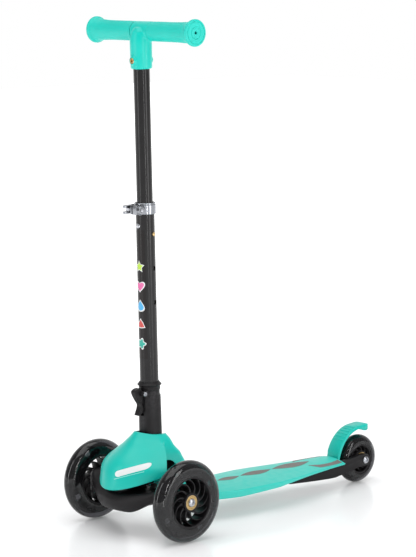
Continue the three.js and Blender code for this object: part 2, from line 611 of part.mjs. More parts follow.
function tubes() {
  const lower = ring(LOWER_TUBE_BORE, LOWER_TUBE_RADIUS, TUBE_SEAT + FIT_GAP, CLAMP_MIDDLE + 8.6,
    "z", 20);
  const holes = TUBE_HOLES.map(buttonHole);
  const rivetHole = bar(2.3, [0, -20, 350], [0, -5, 350], 16);
  add(stem, "lower_tube", cut(lower, ...holes, rivetHole), TUBE_BLACK);
  const rivet = bar(2, [0, -12.2, 350], [0, -14.6, 350], 16);
  const rivetHead = new THREE.SphereGeometry(4.6, 12, 10).translate(0, -11.4, 350);
  const headCap = shared(rivetHead, box([-5, -17, 344], [5, -14.2, 356]));
  add(stem, "guide_rivet", join(rivet, headCap), STEEL);

  const upper = ring(UPPER_TUBE_BORE, UPPER_TUBE_RADIUS, UPPER_TUBE_END, 605, "z", 20);
  const boltHole = bar(2.9, [0, -20, CROSS_BOLT_HEIGHT], [0, 20, CROSS_BOLT_HEIGHT], 16);
  add(stem, "upper_tube", cut(upper, buttonHole(TUBE_HOLES[0]), boltHole), TUBE_BLACK);

  const button = turned([[0, 12.2], [BUTTON_RADIUS, 12.2], [BUTTON_RADIUS, 14.9],
    [BUTTON_RADIUS * 0.7, 15.7], [0, 15.9]], "x", 18);
  add(stem, "snap_button", button.rotateZ(BUTTON_TURN).translate(0, 0, TUBE_HOLES[0]), BRASS);
  const strip = [[9.2, 0], [9.2, -14], [7, -24], [0, -32], [-7, -24], [-9.4, -8], [-8.6, -8],
    [-6.2, -23.4], [0, -30.8], [6.2, -23.4], [8.4, -14], [8.4, 0]];
  const leaf = new THREE.ExtrudeGeometry(outline(strip), { depth: 5, bevelEnabled: false })
    .rotateX(Math.PI / 2).translate(0, 2.5, TUBE_HOLES[0] + 3).rotateZ(BUTTON_TURN);
  add(stem, "snap_spring", leaf, STEEL);
}

// ---- height clamp -------------------------------------------------------------------------
const CLAMP_BOLT_Y = -19.4;
const CLAMP_PIN_X = -13.4;

function clamp() {
  const [low, high] = [CLAMP_MIDDLE - 7.5, CLAMP_MIDDLE + 6.5];
  const band = turned([[14, low], [15.9, low], [15.9, high - 0.6], [15, high], [15, high + 1],
    [15.4, high + 1.4], [15.4, high + 2.4], [14, high + 2.4], [14, low]], "z", 24);
  const bore = bar(LOWER_TUBE_RADIUS + 0.35, [0, 0, low - 5], [0, 0, high + 5], 24);
  const slit = box([-1.1, -40, low - 5], [1.1, -5, high + 5]);
  const boltZ = CLAMP_MIDDLE - 0.5;
  const along = (radius, fromX, toX, segments) =>
    bar(radius, [fromX, CLAMP_BOLT_Y, boltZ], [toX, CLAMP_BOLT_Y, boltZ], segments);
  const upright = (radius, half, segments) =>
    bar(radius, [CLAMP_PIN_X, CLAMP_BOLT_Y, boltZ - half], [CLAMP_PIN_X, CLAMP_BOLT_Y, boltZ + half],
      segments);
  const leverRoom = upright(10.9, 10, 24); // the hollow seat that the lever's head turns in
  const ears = cut(box([-7, -24.6, low + 0.5], [9.6, -13.4, high - 0.6]), leverRoom);
  add(stem, "clamp_collar", cut(join(band, ears), bore, slit, along(2.9, -20, 20, 16)), CHROME);

  const eye = cut(upright(4.4, 2.4, 16), upright(2.4, 9, 12));
  const bolt = join(along(2.5, CLAMP_PIN_X + 3.4, 16.8, 16), eye);
  add(stem, "clamp_bolt", bolt, STEEL);
  const nut = cut(turned([[0, 10], [6.2, 10], [6.8, 10.8], [6.8, 14.4], [5.8, 15.6], [0, 15.6]], "x", 20)
    .translate(0, CLAMP_BOLT_Y, boltZ), along(2.8, 5, 25, 16));
  add(stem, "clamp_nut", nut, CHROME);
  add(stem, "clamp_pin", upright(2.1, 6.4, 12), STEEL);

  const hand = [[-9.5, CLAMP_BOLT_Y - 6], [-11, -28.9], [-13.4, -30], [-16.6, -28.6],
    [-19.4, -24], [-20.6, -16], [-20.8, -4], [-19.8, 8], [-17.6, 17], [-14.4, 20.4], [-13, 18.4],
    [-15.2, 13], [-17.2, 5], [-17.8, -3], [-17.2, -10], [-14, -14.6], [-9.2, -15.4]];
  const fork = box([-24, -40, boltZ - 2.8], [CLAMP_PIN_X + 8, -12.6, boltZ + 2.8]);
  const lever = cut(plateZ(hand, boltZ - 6, boltZ + 6), fork, upright(2.4, 9, 12));
  add(stem, "clamp_lever", lever, CHROME);
}

// ---- handlebar ----------------------------------------------------------------------------
function handlebar() {
  const core = bar(10.4, [-104, HANDLE_OFFSET, HANDLE_HEIGHT], [104, HANDLE_OFFSET, HANDLE_HEIGHT], 16);
  const hub = bar(14.2, [-18, HANDLE_OFFSET, HANDLE_HEIGHT], [18, HANDLE_OFFSET, HANDLE_HEIGHT], 20);
  const socket = turned([[0, 575.5], [14.4, 575.5], [15.6, 577], [15.8, 600], [16, 614],
    [14.6, 626], [10, 634], [0, 637]], "z", 20);
  const bosses = bar(6, [0, -18.6, CROSS_BOLT_HEIGHT], [0, 18.6, CROSS_BOLT_HEIGHT], 16);
  const tubeBore = bar(UPPER_TUBE_RADIUS + FIT_GAP, [0, 0, 560], [0, 0, 605.4], 20);
  const boltBore = bar(2.9, [0, -30, CROSS_BOLT_HEIGHT], [0, 30, CROSS_BOLT_HEIGHT], 16);
  const headRoom = bar(4.7, [0, -30, CROSS_BOLT_HEIGHT], [0, -15, CROSS_BOLT_HEIGHT], 16);
  const nutRoom = bar(5, [0, 15, CROSS_BOLT_HEIGHT], [0, 30, CROSS_BOLT_HEIGHT], 6);
  const tee = cut(join(core, hub, socket, bosses), tubeBore, boltBore, headRoom, nutRoom);
  add(stem, "handlebar_tee", tee, GREEN);

  const head = bar(4.3, [0, -18, CROSS_BOLT_HEIGHT], [0, -15.3, CROSS_BOLT_HEIGHT], 16);
  const socketHole = bar(2.4, [0, -19, CROSS_BOLT_HEIGHT], [0, -16.4, CROSS_BOLT_HEIGHT], 6);
  const shank = bar(2.5, [0, -16, CROSS_BOLT_HEIGHT], [0, 18.2, CROSS_BOLT_HEIGHT], 16);
  add(stem, "handlebar_bolt", cut(join(head, shank), socketHole), BRASS);
  const nut = cut(bar(4.6, [0, 15.4, CROSS_BOLT_HEIGHT], [0, 18, CROSS_BOLT_HEIGHT], 6),
    bar(2.8, [0, 10, CROSS_BOLT_HEIGHT], [0, 25, CROSS_BOLT_HEIGHT], 16));
  add(stem, "handlebar_nut", nut, BRASS);

  for (const [side, label] of [[1, "left"], [-1, "right"]]) {
    const end = HANDLE_HALF_LENGTH;
    const profile = [[10.7, 18.3], [14.2, 18.3], [13.8, 40], [13.9, 70], [14.6, 92], [16, 100],
      [18.4, 103.5], [19.25, 105], [19.25, 107.6], [18.2, end], [2.2, end], [2.2, 106.6], [10.7, 104.6],
      [10.7, 18.3]];
    const grip = turned(profile.map(([radius, along]) => [radius, side * along]), "x", 20);
    add(stem, `grip_${label}`, grip.translate(0, HANDLE_OFFSET, HANDLE_HEIGHT), GREEN);
  }
}

frontWheel(1, "left");
frontWheel(-1, "right");
rearWheel();
steeringTruck();
add(scooter, "chassis", chassis(), BLACK);
deckAndInlays();
add(scooter, "front_cover", frontCover(), GREEN);
foldJoint();
brake();
add(stem, "stem_socket", stemSocket(), BLACK);
add(stem, "socket_collar", socketCollar(), BLACK);
latch();
tubes();
clamp();
handlebar();

const assembly = new THREE.Group();
scooter.position.y = -BODY_MIDDLE_Y;
assembly.add(scooter);

export default assembly;
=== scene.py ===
# A child's three-wheeled kick scooter. Metres, +Z up, the rider looks along -Y, +X is the rider's left.
import json
import math

import bmesh
import bpy
from mathutils import Matrix, Vector


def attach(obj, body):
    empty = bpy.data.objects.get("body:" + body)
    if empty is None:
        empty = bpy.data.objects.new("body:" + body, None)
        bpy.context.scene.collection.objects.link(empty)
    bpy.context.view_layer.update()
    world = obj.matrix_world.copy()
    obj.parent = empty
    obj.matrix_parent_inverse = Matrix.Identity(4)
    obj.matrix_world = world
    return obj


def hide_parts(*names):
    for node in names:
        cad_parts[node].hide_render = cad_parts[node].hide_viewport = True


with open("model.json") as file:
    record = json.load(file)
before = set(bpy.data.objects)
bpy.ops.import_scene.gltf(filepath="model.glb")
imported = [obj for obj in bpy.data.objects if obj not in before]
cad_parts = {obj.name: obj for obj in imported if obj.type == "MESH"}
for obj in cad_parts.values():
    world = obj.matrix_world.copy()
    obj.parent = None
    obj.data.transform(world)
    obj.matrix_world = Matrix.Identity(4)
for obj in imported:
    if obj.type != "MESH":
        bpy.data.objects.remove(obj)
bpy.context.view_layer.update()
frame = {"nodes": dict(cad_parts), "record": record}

scene = bpy.context.scene


# ---- Camera, floor and studio light ----------------------------------------------------------
# A long lens a little above the deck looks at the scooter's front left corner. The room is seen
# white all round, but gloss mirrors it dimmer away from the backdrop. The pale, faintly glossy
# floor glows further out, so that it runs on into the white without a horizon.
camera_lens = bpy.data.cameras.new("studio_camera")
camera_lens.lens = 146.7
camera_lens.clip_end = 60
camera = bpy.data.objects.new("studio_camera", camera_lens)
camera.location = (2.4634, -2.3465, 0.8344)
camera.rotation_euler = (math.radians(90 - 8.07), 0, math.radians(47.4))
scene.collection.objects.link(camera)
scene.camera = camera
scene.view_settings.view_transform = "Standard"

room = bpy.data.worlds.new("white_room")
room.use_nodes = True
backdrop = room.node_tree.nodes["Background"]
backdrop.inputs["Color"].default_value = (1, 1, 1, 1)
toward = room.node_tree.nodes.new("ShaderNodeTexCoord")
facing = room.node_tree.nodes.new("ShaderNodeVectorMath")
facing.operation = "DOT_PRODUCT"
facing.inputs[1].default_value = (-0.73, 0.67, -0.14)
fade = room.node_tree.nodes.new("ShaderNodeMapRange")
fade.inputs["From Min"].default_value = 0.1
fade.inputs["From Max"].default_value = 0.8
fade.inputs["To Min"].default_value = 0.3
fade.inputs["To Max"].default_value = 1.0
room.node_tree.links.new(toward.outputs["Generated"], facing.inputs[0])
room.node_tree.links.new(facing.outputs["Value"], fade.inputs["Value"])
seen_white = room.node_tree.nodes.new("ShaderNodeMath")
seen_white.operation = "MAXIMUM"
ray_kind = room.node_tree.nodes.new("ShaderNodeLightPath")
room.node_tree.links.new(fade.outputs["Result"], seen_white.inputs[0])
room.node_tree.links.new(ray_kind.outputs["Is Camera Ray"], seen_white.inputs[1])
room.node_tree.links.new(seen_white.outputs[0], backdrop.inputs["Strength"])
scene.world = room


def soft_box(name, place, aim, width, height, power):
    light = bpy.data.lights.new(name, "AREA")
    light.shape = "RECTANGLE"
    light.size = width
    light.size_y = height
    light.energy = power
    lamp = bpy.data.objects.new(name, light)
    lamp.location = place
    lamp.rotation_euler = (Vector(aim) - Vector(place)).to_track_quat("-Z", "Y").to_euler()
    scene.collection.objects.link(lamp)


soft_box("overhead_box", (0.2, -0.3, 2.6), (0, 0, 0.1), 2.6, 2.6, 42)
soft_box("front_strip", (-0.6, -2.4, 1.1), (0, -0.2, 0.45), 0.5, 2.2, 13)
soft_box("side_strip", (2.4, 0.5, 1.0), (0, -0.1, 0.4), 0.7, 2.2, 20)

soft_box("tube_glint", (2.8, -1.06, 1.0), (0, -0.2, 0.45), 0.14, 2.2, 16)

floor_mesh = bpy.data.meshes.new("studio_floor")
FLOOR_REACH = 9
floor_mesh.from_pydata([(-FLOOR_REACH, -FLOOR_REACH, 0), (FLOOR_REACH, -FLOOR_REACH, 0),
                        (FLOOR_REACH, FLOOR_REACH, 0), (-FLOOR_REACH, FLOOR_REACH, 0)], [], [(0, 1, 2, 3)])
studio_floor = bpy.data.objects.new("studio_floor", floor_mesh)
scene.collection.objects.link(studio_floor)
floor_finish = bpy.data.materials.new("pale_floor")
floor_finish.use_nodes = True
floor_shader = floor_finish.node_tree.nodes["Principled BSDF"]
floor_shader.inputs["Base Color"].default_value = (0.97, 0.975, 0.985, 1)
floor_shader.inputs["Roughness"].default_value = 0.22
floor_shader.inputs["Specular IOR Level"].default_value = 0.35
floor_tree = floor_finish.node_tree
floor_place = floor_tree.nodes.new("ShaderNodeTexCoord")
floor_reach = floor_tree.nodes.new("ShaderNodeVectorMath")
floor_reach.operation = "LENGTH"
floor_tree.links.new(floor_place.outputs["Object"], floor_reach.inputs[0])
floor_glow = floor_tree.nodes.new("ShaderNodeMapRange")
floor_glow.inputs["From Min"].default_value = 0.45
floor_glow.inputs["From Max"].default_value = 1.5
floor_glow.inputs["To Min"].default_value = 0.12
floor_tree.links.new(floor_reach.outputs["Value"], floor_glow.inputs["Value"])
floor_tree.links.new(floor_glow.outputs["Result"], floor_shader.inputs["Emission Strength"])
floor_shader.inputs["Emission Color"].default_value = (1, 1, 1, 1)
floor_mesh.materials.append(floor_finish)


# ---- Moulded black nylon: truck, frame, wheel cores, stem socket ------------------------------
# Glass-filled nylon with a fine spark-eroded grain, slightly polished and greyed on its edges.
# Two node groups are shared by most finishes: the grain of a surface and the wear of its edges.
def group_tree(name, inputs, outputs):
    tree = bpy.data.node_groups.new(name, "ShaderNodeTree")
    for label, default in inputs:
        socket = tree.interface.new_socket(name=label, in_out="INPUT", socket_type="NodeSocketFloat")
        socket.default_value = default
    for label in outputs:
        tree.interface.new_socket(name=label, in_out="OUTPUT", socket_type="NodeSocketFloat")
    return tree, tree.nodes.new("NodeGroupInput"), tree.nodes.new("NodeGroupOutput")


def noise(tree, place, scale, detail):
    texture = tree.nodes.new("ShaderNodeTexNoise")
    texture.inputs["Detail"].default_value = detail
    tree.links.new(place, texture.inputs["Vector"])
    if isinstance(scale, (int, float)):
        texture.inputs["Scale"].default_value = scale
    else:
        tree.links.new(scale, texture.inputs["Scale"])
    return texture.outputs["Fac"]


def ramp(tree, value, low, high):
    spread = tree.nodes.new("ShaderNodeMapRange")
    spread.clamp = True
    spread.inputs["From Min"].default_value = low
    spread.inputs["From Max"].default_value = high
    tree.links.new(value, spread.inputs["Value"])
    return spread.outputs["Result"]


def multiplied(tree, first, second):
    times = tree.nodes.new("ShaderNodeMath")
    times.operation = "MULTIPLY"
    tree.links.new(first, times.inputs[0])
    tree.links.new(second, times.inputs[1])
    return times.outputs[0]


grain_tree, grain_in, grain_out = group_tree(
    "surface_grain", [("Grain Scale", 2500), ("Mottle Scale", 30)], ["Height", "Mottle", "Smears"])
grain_place = grain_tree.nodes.new("ShaderNodeTexCoord").outputs["Object"]
grain_tree.links.new(noise(grain_tree, grain_place, grain_in.outputs["Grain Scale"], 2),
                     grain_out.inputs["Height"])
mottle = noise(grain_tree, grain_place, grain_in.outputs["Mottle Scale"], 3)
grain_tree.links.new(mottle, grain_out.inputs["Mottle"])
smears = ramp(grain_tree, noise(grain_tree, grain_place, 90, 6), 0.45, 0.75)
grain_tree.links.new(smears, grain_out.inputs["Smears"])

wear_tree, wear_in, wear_out = group_tree("edge_wear", [("Amount", 0.3)], ["Mask"])
wear_place = wear_tree.nodes.new("ShaderNodeTexCoord").outputs["Object"]
edge_mask = ramp(wear_tree, wear_tree.nodes.new("ShaderNodeNewGeometry").outputs["Pointiness"], 0.52, 0.62)
broken = ramp(wear_tree, noise(wear_tree, wear_place, 260, 4), 0.35, 0.65)
worn = multiplied(wear_tree, multiplied(wear_tree, edge_mask, broken), wear_in.outputs["Amount"])
wear_tree.links.new(worn, wear_out.inputs["Mask"])


def mixed(tree, amount, first, second):
    """The colour first, going to the colour second where the amount is high."""
    mix = tree.nodes.new("ShaderNodeMix")
    mix.data_type = "RGBA"
    mix.inputs["A"].default_value = (*first, 1)
    if len(second) == 3:
        mix.inputs["B"].default_value = (*second, 1)
    tree.links.new(amount, mix.inputs["Factor"])
    return mix.outputs["Result"], mix


def finish(name, colour, shade, worn_colour, roughness, grain_scale=2500, grain_depth=0.00002,
           wear=0.3, metallic=0.0, specular=0.5):
    """A grained and mottled finish: colour with patches of shade, and worn_colour on its edges."""
    material = bpy.data.materials.new(name)
    material.use_nodes = True
    tree = material.node_tree
    shader = tree.nodes["Principled BSDF"]
    grain = tree.nodes.new("ShaderNodeGroup")
    grain.node_tree = grain_tree
    grain.inputs["Grain Scale"].default_value = grain_scale
    edges = tree.nodes.new("ShaderNodeGroup")
    edges.node_tree = wear_tree
    edges.inputs["Amount"].default_value = wear
    patches, _ = mixed(tree, grain.outputs["Mottle"], colour, shade)
    _, last = mixed(tree, edges.outputs["Mask"], colour, worn_colour)
    tree.links.new(patches, last.inputs["A"])
    tree.links.new(last.outputs["Result"], shader.inputs["Base Color"])
    gloss = tree.nodes.new("ShaderNodeMapRange")
    gloss.inputs["To Min"].default_value = roughness
    gloss.inputs["To Max"].default_value = min(1, roughness + 0.12)
    tree.links.new(grain.outputs["Smears"], gloss.inputs["Value"])
    tree.links.new(gloss.outputs["Result"], shader.inputs["Roughness"])
    bump = tree.nodes.new("ShaderNodeBump")
    bump.inputs["Distance"].default_value = grain_depth
    tree.links.new(grain.outputs["Height"], bump.inputs["Height"])
    tree.links.new(bump.outputs["Normal"], shader.inputs["Normal"])
    shader.inputs["Metallic"].default_value = metallic
    shader.inputs["Specular IOR Level"].default_value = specular
    return material


black_nylon = finish("black_nylon", (0.007, 0.006, 0.007), (0.011, 0.01, 0.011), (0.05, 0.05, 0.055),
                     0.4, grain_scale=2600, grain_depth=0.00002, specular=0.22)

# Every carried-over solid takes the finish of its slot first; sections below replace many of them.
turquoise = finish("turquoise_plastic", (0.0, 0.54, 0.455), (0.0, 0.50, 0.42), (0.1, 0.66, 0.58), 0.32,
                   grain_scale=1800, grain_depth=0.000008, specular=0.4)
tube_paint = finish("gloss_black_paint", (0.004, 0.0035, 0.004), (0.006, 0.0055, 0.006), (0.1, 0.1, 0.11),
                    0.16, grain_scale=260, grain_depth=0.000001, wear=0.0, specular=0.3)
grip_sheet = finish("grey_grip_sheet", (0.16, 0.145, 0.135), (0.22, 0.2, 0.19), (0.3, 0.29, 0.28), 0.75,
                    grain_scale=1500, grain_depth=0.00025)
zinc = finish("zinc_plate", (0.46, 0.47, 0.5), (0.4, 0.41, 0.44), (0.75, 0.75, 0.78), 0.26,
              grain_scale=1200, metallic=1.0, wear=0.2)
chrome = finish("chrome_plate", (0.27, 0.28, 0.3), (0.23, 0.24, 0.26), (0.5, 0.5, 0.53), 0.14,
                grain_scale=700, grain_depth=0.000004, metallic=1.0, wear=0.2)
brass = finish("yellow_passivate", (0.6, 0.43, 0.2), (0.5, 0.36, 0.17), (0.8, 0.62, 0.35), 0.28,
               grain_scale=1200, metallic=1.0, wear=0.3)
rubber = finish("black_rubber", (0.02, 0.02, 0.02), (0.03, 0.03, 0.03), (0.06, 0.06, 0.06), 0.8,
                grain_scale=1500, grain_depth=0.0001)

urethane = bpy.data.materials.new("smoke_clear_urethane")
urethane.use_nodes = True
urethane_shader = urethane.node_tree.nodes["Principled BSDF"]
urethane_grain = urethane.node_tree.nodes.new("ShaderNodeGroup")
urethane_grain.node_tree = grain_tree
urethane_tint, _ = mixed(urethane.node_tree, urethane_grain.outputs["Mottle"],
                         (0.07, 0.07, 0.078), (0.05, 0.05, 0.056))
urethane.node_tree.links.new(urethane_tint, urethane_shader.inputs["Base Color"])
urethane_haze = ramp(urethane.node_tree, urethane_grain.outputs["Smears"], 0, 1)
urethane_haze.node.inputs["To Min"].default_value = 0.04
urethane_haze.node.inputs["To Max"].default_value = 0.1
urethane.node_tree.links.new(urethane_haze, urethane_shader.inputs["Roughness"])
urethane_shader.inputs["Transmission Weight"].default_value = 0.9
urethane_shader.inputs["IOR"].default_value = 1.46

slot_finish = {"green_plastic": turquoise, "black_plastic": black_nylon, "black_tube": tube_paint,
               "inlay_grip": grip_sheet, "clear_tyre": urethane, "steel": zinc, "chrome_metal": chrome,
               "brass_metal": brass, "black_rubber": rubber}
for subpart in frame["record"]["subparts"]:
    node = frame["nodes"][subpart["node"]]
    node.data.materials.clear()
    node.data.materials.append(slot_finish[subpart["material_slot"]])


# ---- Tyres ------------------------------------------------------------------------------------
# Smoke-clear polyurethane cast round the core, so the core's flange shows through the sides.
# Each is turned to a nearly round tread, with a flat shoulder where the core's rim ends.
LENGTH_MIDDLE = 0.2156  # the frame's origin, behind the front axle


def mesh_piece(name, points, faces, material, sharp_degrees=32):
    """A closed mesh from points in metres, with its faces out and its corners kept crisp."""
    mesh = bpy.data.meshes.new(name)
    mesh.from_pydata([tuple(p) for p in points], [], faces)
    shape = bmesh.new()
    shape.from_mesh(mesh)
    bmesh.ops.remove_doubles(shape, verts=shape.verts, dist=1e-7)
    bmesh.ops.recalc_face_normals(shape, faces=shape.faces)
    shape.to_mesh(mesh)
    shape.free()
    mesh.materials.append(material)
    mesh.shade_smooth()
    mesh.set_sharp_from_angle(angle=math.radians(sharp_degrees))
    piece = bpy.data.objects.new(name, mesh)
    scene.collection.objects.link(piece)
    return piece


def turned(name, profile, place, material, segments=96, sharp_degrees=32):
    """A turned piece: (radius, along) pairs in millimetres about the local z of the matrix place."""
    points, rings = [], []
    for radius, along in profile:
        steps = 1 if radius < 1e-6 else segments
        rings.append(range(len(points), len(points) + steps))
        points += [place @ Vector((radius * math.cos(2 * math.pi * i / segments) / 1000,
                                   radius * math.sin(2 * math.pi * i / segments) / 1000,
                                   along / 1000)) for i in range(steps)]
    pairs = list(zip(rings, rings[1:]))
    if profile[0][0] > 1e-6:
        pairs.append((rings[-1], rings[0]))
    faces = []
    for low, high in pairs:
        for i in range(segments):
            after = (i + 1) % segments
            face = [low[i % len(low)], low[after % len(low)], high[after % len(high)], high[i % len(high)]]
            face = list(dict.fromkeys(face))
            if len(face) > 2:
                faces.append(face)
    return mesh_piece(name, points, faces, material, sharp_degrees)


def arc(centre, radius, start, end, steps):
    """Points on a circle from one angle to another, in degrees."""
    angles = [math.radians(start + (end - start) * i / steps) for i in range(steps + 1)]
    return [(centre[0] + radius * math.cos(a), centre[1] + radius * math.sin(a)) for a in angles]


def settle(piece, body, slot, *nodes):
    """The piece rides on a body and stands for these solids; slot is not used."""
    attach(piece, body)
    if nodes:
        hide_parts(*nodes)


ALONG_X = Matrix.Rotation(math.radians(90), 4, "Y")  # turns local z to world x
front_axles = {"left": Vector((0.1, -LENGTH_MIDDLE, 0.06)), "right": Vector((-0.1, -LENGTH_MIDDLE, 0.06))}
rear_axle = Vector((0, 0.457 - LENGTH_MIDDLE, 0.0385))


def tyre(name, centre, outer, rim, half_width, body):
    tread = arc((outer - half_width, 0), half_width, -78, 78, 30)
    shoulder = half_width - 0.7
    profile = [(rim - 0.1, -shoulder), (rim + 1.2, -shoulder - 0.4), *tread,
               (rim + 1.2, shoulder + 0.4), (rim - 0.1, shoulder)]
    piece = turned(f"{name}_cast", profile, Matrix.Translation(centre) @ ALONG_X, urethane, 128, 50)
    settle(piece, body, "clear_tyre", name)


for side, centre in front_axles.items():
    tyre(f"front_tyre_{side}", centre, 60, 38, 12.5, f"wheel_{side}")
tyre("rear_tyre", rear_axle, 38.5, 24, 12, "wheel_rear")


# ---- Wheel cores ------------------------------------------------------------------------------
# Black nylon: a bearing hub, swept blades, a rim and a flange with windows and small holes that
# lock it in the cast tyre. The blades are one blade repeated round the axle.
def repeat_round_tree():
    """Geometry nodes: the incoming part, turned about the x axis Count times by Step."""
    tree = bpy.data.node_groups.new("repeat_round", "GeometryNodeTree")
    face = tree.interface
    face.new_socket(name="Part", in_out="INPUT", socket_type="NodeSocketGeometry")
    face.new_socket(name="Count", in_out="INPUT", socket_type="NodeSocketInt")
    face.new_socket(name="Step", in_out="INPUT", socket_type="NodeSocketFloat")
    face.new_socket(name="Finish", in_out="INPUT", socket_type="NodeSocketMaterial")
    face.new_socket(name="Part", in_out="OUTPUT", socket_type="NodeSocketGeometry")
    source, result = tree.nodes.new("NodeGroupInput"), tree.nodes.new("NodeGroupOutput")
    line = tree.nodes.new("GeometryNodeMeshLine")
    line.inputs["Offset"].default_value = (0, 0, 0)
    copies = tree.nodes.new("GeometryNodeInstanceOnPoints")
    index, angle = tree.nodes.new("GeometryNodeInputIndex"), tree.nodes.new("ShaderNodeMath")
    angle.operation = "MULTIPLY"
    turn = tree.nodes.new("ShaderNodeCombineXYZ")
    real, painted = tree.nodes.new("GeometryNodeRealizeInstances"), tree.nodes.new("GeometryNodeSetMaterial")
    for start, end in [(source.outputs["Count"], line.inputs["Count"]),
                       (line.outputs["Mesh"], copies.inputs["Points"]),
                       (source.outputs["Part"], copies.inputs["Instance"]),
                       (index.outputs["Index"], angle.inputs[0]), (source.outputs["Step"], angle.inputs[1]),
                       (angle.outputs[0], turn.inputs["X"]), (turn.outputs[0], copies.inputs["Rotation"]),
                       (copies.outputs["Instances"], real.inputs["Geometry"]),
                       (real.outputs["Geometry"], painted.inputs["Geometry"]),
                       (source.outputs["Finish"], painted.inputs["Material"]),
                       (painted.outputs["Geometry"], result.inputs["Part"])]:
        tree.links.new(start, end)
    return tree


repeat_round = repeat_round_tree()


def set_input(modifier, label, value):
    for item in modifier.node_group.interface.items_tree:
        if item.in_out == "INPUT" and item.name == label:
            modifier[item.identifier] = value


def plain(piece):
    """Turns a piece's modifiers into its own mesh."""
    ready = piece.evaluated_get(bpy.context.evaluated_depsgraph_get())
    old = piece.data
    piece.data = bpy.data.meshes.new_from_object(ready)
    piece.modifiers.clear()
    bpy.data.meshes.remove(old)
    piece.data.name = piece.name
    return piece


def repeated_round(piece, count, step_degrees, material, centre):
    """The piece, modelled about the x axis, repeated round it and then moved to its centre."""
    modifier = piece.modifiers.new("repeat", "NODES")
    modifier.node_group = repeat_round
    set_input(modifier, "Count", count)
    set_input(modifier, "Step", math.radians(step_degrees))
    set_input(modifier, "Finish", material)
    plain(piece).data.transform(Matrix.Translation(centre))
    return piece


def slab(name, outline, low, high, place, material, sharp_degrees=32):
    """A plate: an outline of (u, v) pairs in millimetres, from height low to high on local z."""
    count = len(outline)
    points = [place @ Vector((u / 1000, v / 1000, w / 1000)) for w in (low, high) for u, v in outline]
    faces = [list(range(count)), list(range(count, 2 * count))]
    faces += [[i, (i + 1) % count, count + (i + 1) % count, count + i] for i in range(count)]
    return mesh_piece(name, points, faces, material, sharp_degrees)


def bevelled(piece, width, segments=2, limit=30):
    """Rounds the piece's edges by this many millimetres."""
    bevel = piece.modifiers.new("edges", "BEVEL")
    bevel.width = width / 1000
    bevel.segments = segments
    bevel.limit_method = "ANGLE"
    bevel.angle_limit = math.radians(limit)
    bevel.harden_normals = True
    return plain(piece)


def combined(name, first, *others):
    """Several meshes of one piece as one object."""
    shape = bmesh.new()
    for part in (first, *others):
        shape.from_mesh(part.data)
    shape.to_mesh(first.data)
    shape.free()
    for part in others:
        bpy.data.objects.remove(part)
    first.name = first.data.name = name
    return first


def carved(piece, *tools):
    """Cuts the tools' shapes out of the piece."""
    for tool in tools:
        cut = piece.modifiers.new("cut", "BOOLEAN")
        cut.object = tool
        cut.solver = "EXACT"
    plain(piece)
    for tool in tools:
        bpy.data.objects.remove(tool)
    piece.data.shade_smooth()
    piece.data.set_sharp_from_angle(angle=math.radians(32))
    return piece


YZ_PLATE = Matrix(((0, 0, 1, 0), (1, 0, 0, 0), (0, 1, 0, 0), (0, 0, 0, 1)))  # u, v, w to y, z, x


def wheel_core(name, centre, hub, rim, flange, half_width, blades, side, body):
    place = Matrix.Translation(centre) @ ALONG_X
    seat = 11.1
    hub_part = turned("hub", [(seat, -half_width), (seat + 0.6, -half_width - 0.2),
                              (hub - 0.6, -half_width - 0.2), (hub, -half_width + 0.6), (hub + 0.8, 0),
                              (hub, half_width - 0.6), (hub - 0.6, half_width + 0.2),
                              (seat + 0.6, half_width + 0.2), (seat, half_width), (seat, 4), (6, 4),
                              (6, -4), (seat, -4)], place, black_nylon, 64)
    wall = half_width - 0.8
    rim_part = turned("rim", [(rim - 3, -wall), (rim - 2.4, -wall - 0.6), (rim, -wall - 0.6), (rim, -3),
                              (flange, -3), (flange, 3), (rim, 3), (rim, wall + 0.6),
                              (rim - 2.4, wall + 0.6), (rim - 3, wall),
                              (rim - 2.6, 0)], place, black_nylon, 96)
    tools = []
    window = [*arc((0, 0), flange - 1.5, -7, 7, 4), *arc((0, 0), rim + 3, 6, -6, 4)]
    hole_ring = flange - 2.6
    for i in range(4):
        turn = Matrix.Translation(centre) @ Matrix.Rotation(math.radians(90 * i + 28), 4, "X") @ YZ_PLATE
        tools.append(slab("window", window, -8, 8, turn, black_nylon))
        for step in (30, 42, 54):
            spot = (hole_ring * math.cos(math.radians(step)), hole_ring * math.sin(math.radians(step)))
            tools.append(slab("hole", arc(spot, 1.25, 0, 337.5, 15), -8, 8, turn, black_nylon))
    carved(rim_part, *tools)
    edges = ([], [])
    for share in [i / 8 for i in range(9)]:
        radius = hub - 0.6 + share * (rim - hub - 1)
        sweep = 0.75 * share * share * side
        thick = (1.9 - 0.7 * math.sin(math.pi * share)) / radius
        for edge, sign in zip(edges, (1, -1)):
            edge.append((radius * math.cos(sweep + sign * thick), radius * math.sin(sweep + sign * thick)))
    blade_half = half_width * 0.72
    blade = slab("blade", [*edges[0], *reversed(edges[1])], -blade_half, blade_half, YZ_PLATE, black_nylon)
    bevelled(blade, 0.5, 1)
    repeated_round(blade, blades, 360 / blades, black_nylon, centre)
    settle(combined(f"{name}_moulding", hub_part, rim_part, blade), body, "black_plastic", name)


for side, centre in front_axles.items():
    wheel_core(f"front_core_{side}", centre, 14, 38, 50.4, 12.2, 12, 1, f"wheel_{side}")
wheel_core("rear_core", rear_axle, 13.5, 24, 31.2, 11, 10, 1, "wheel_rear")


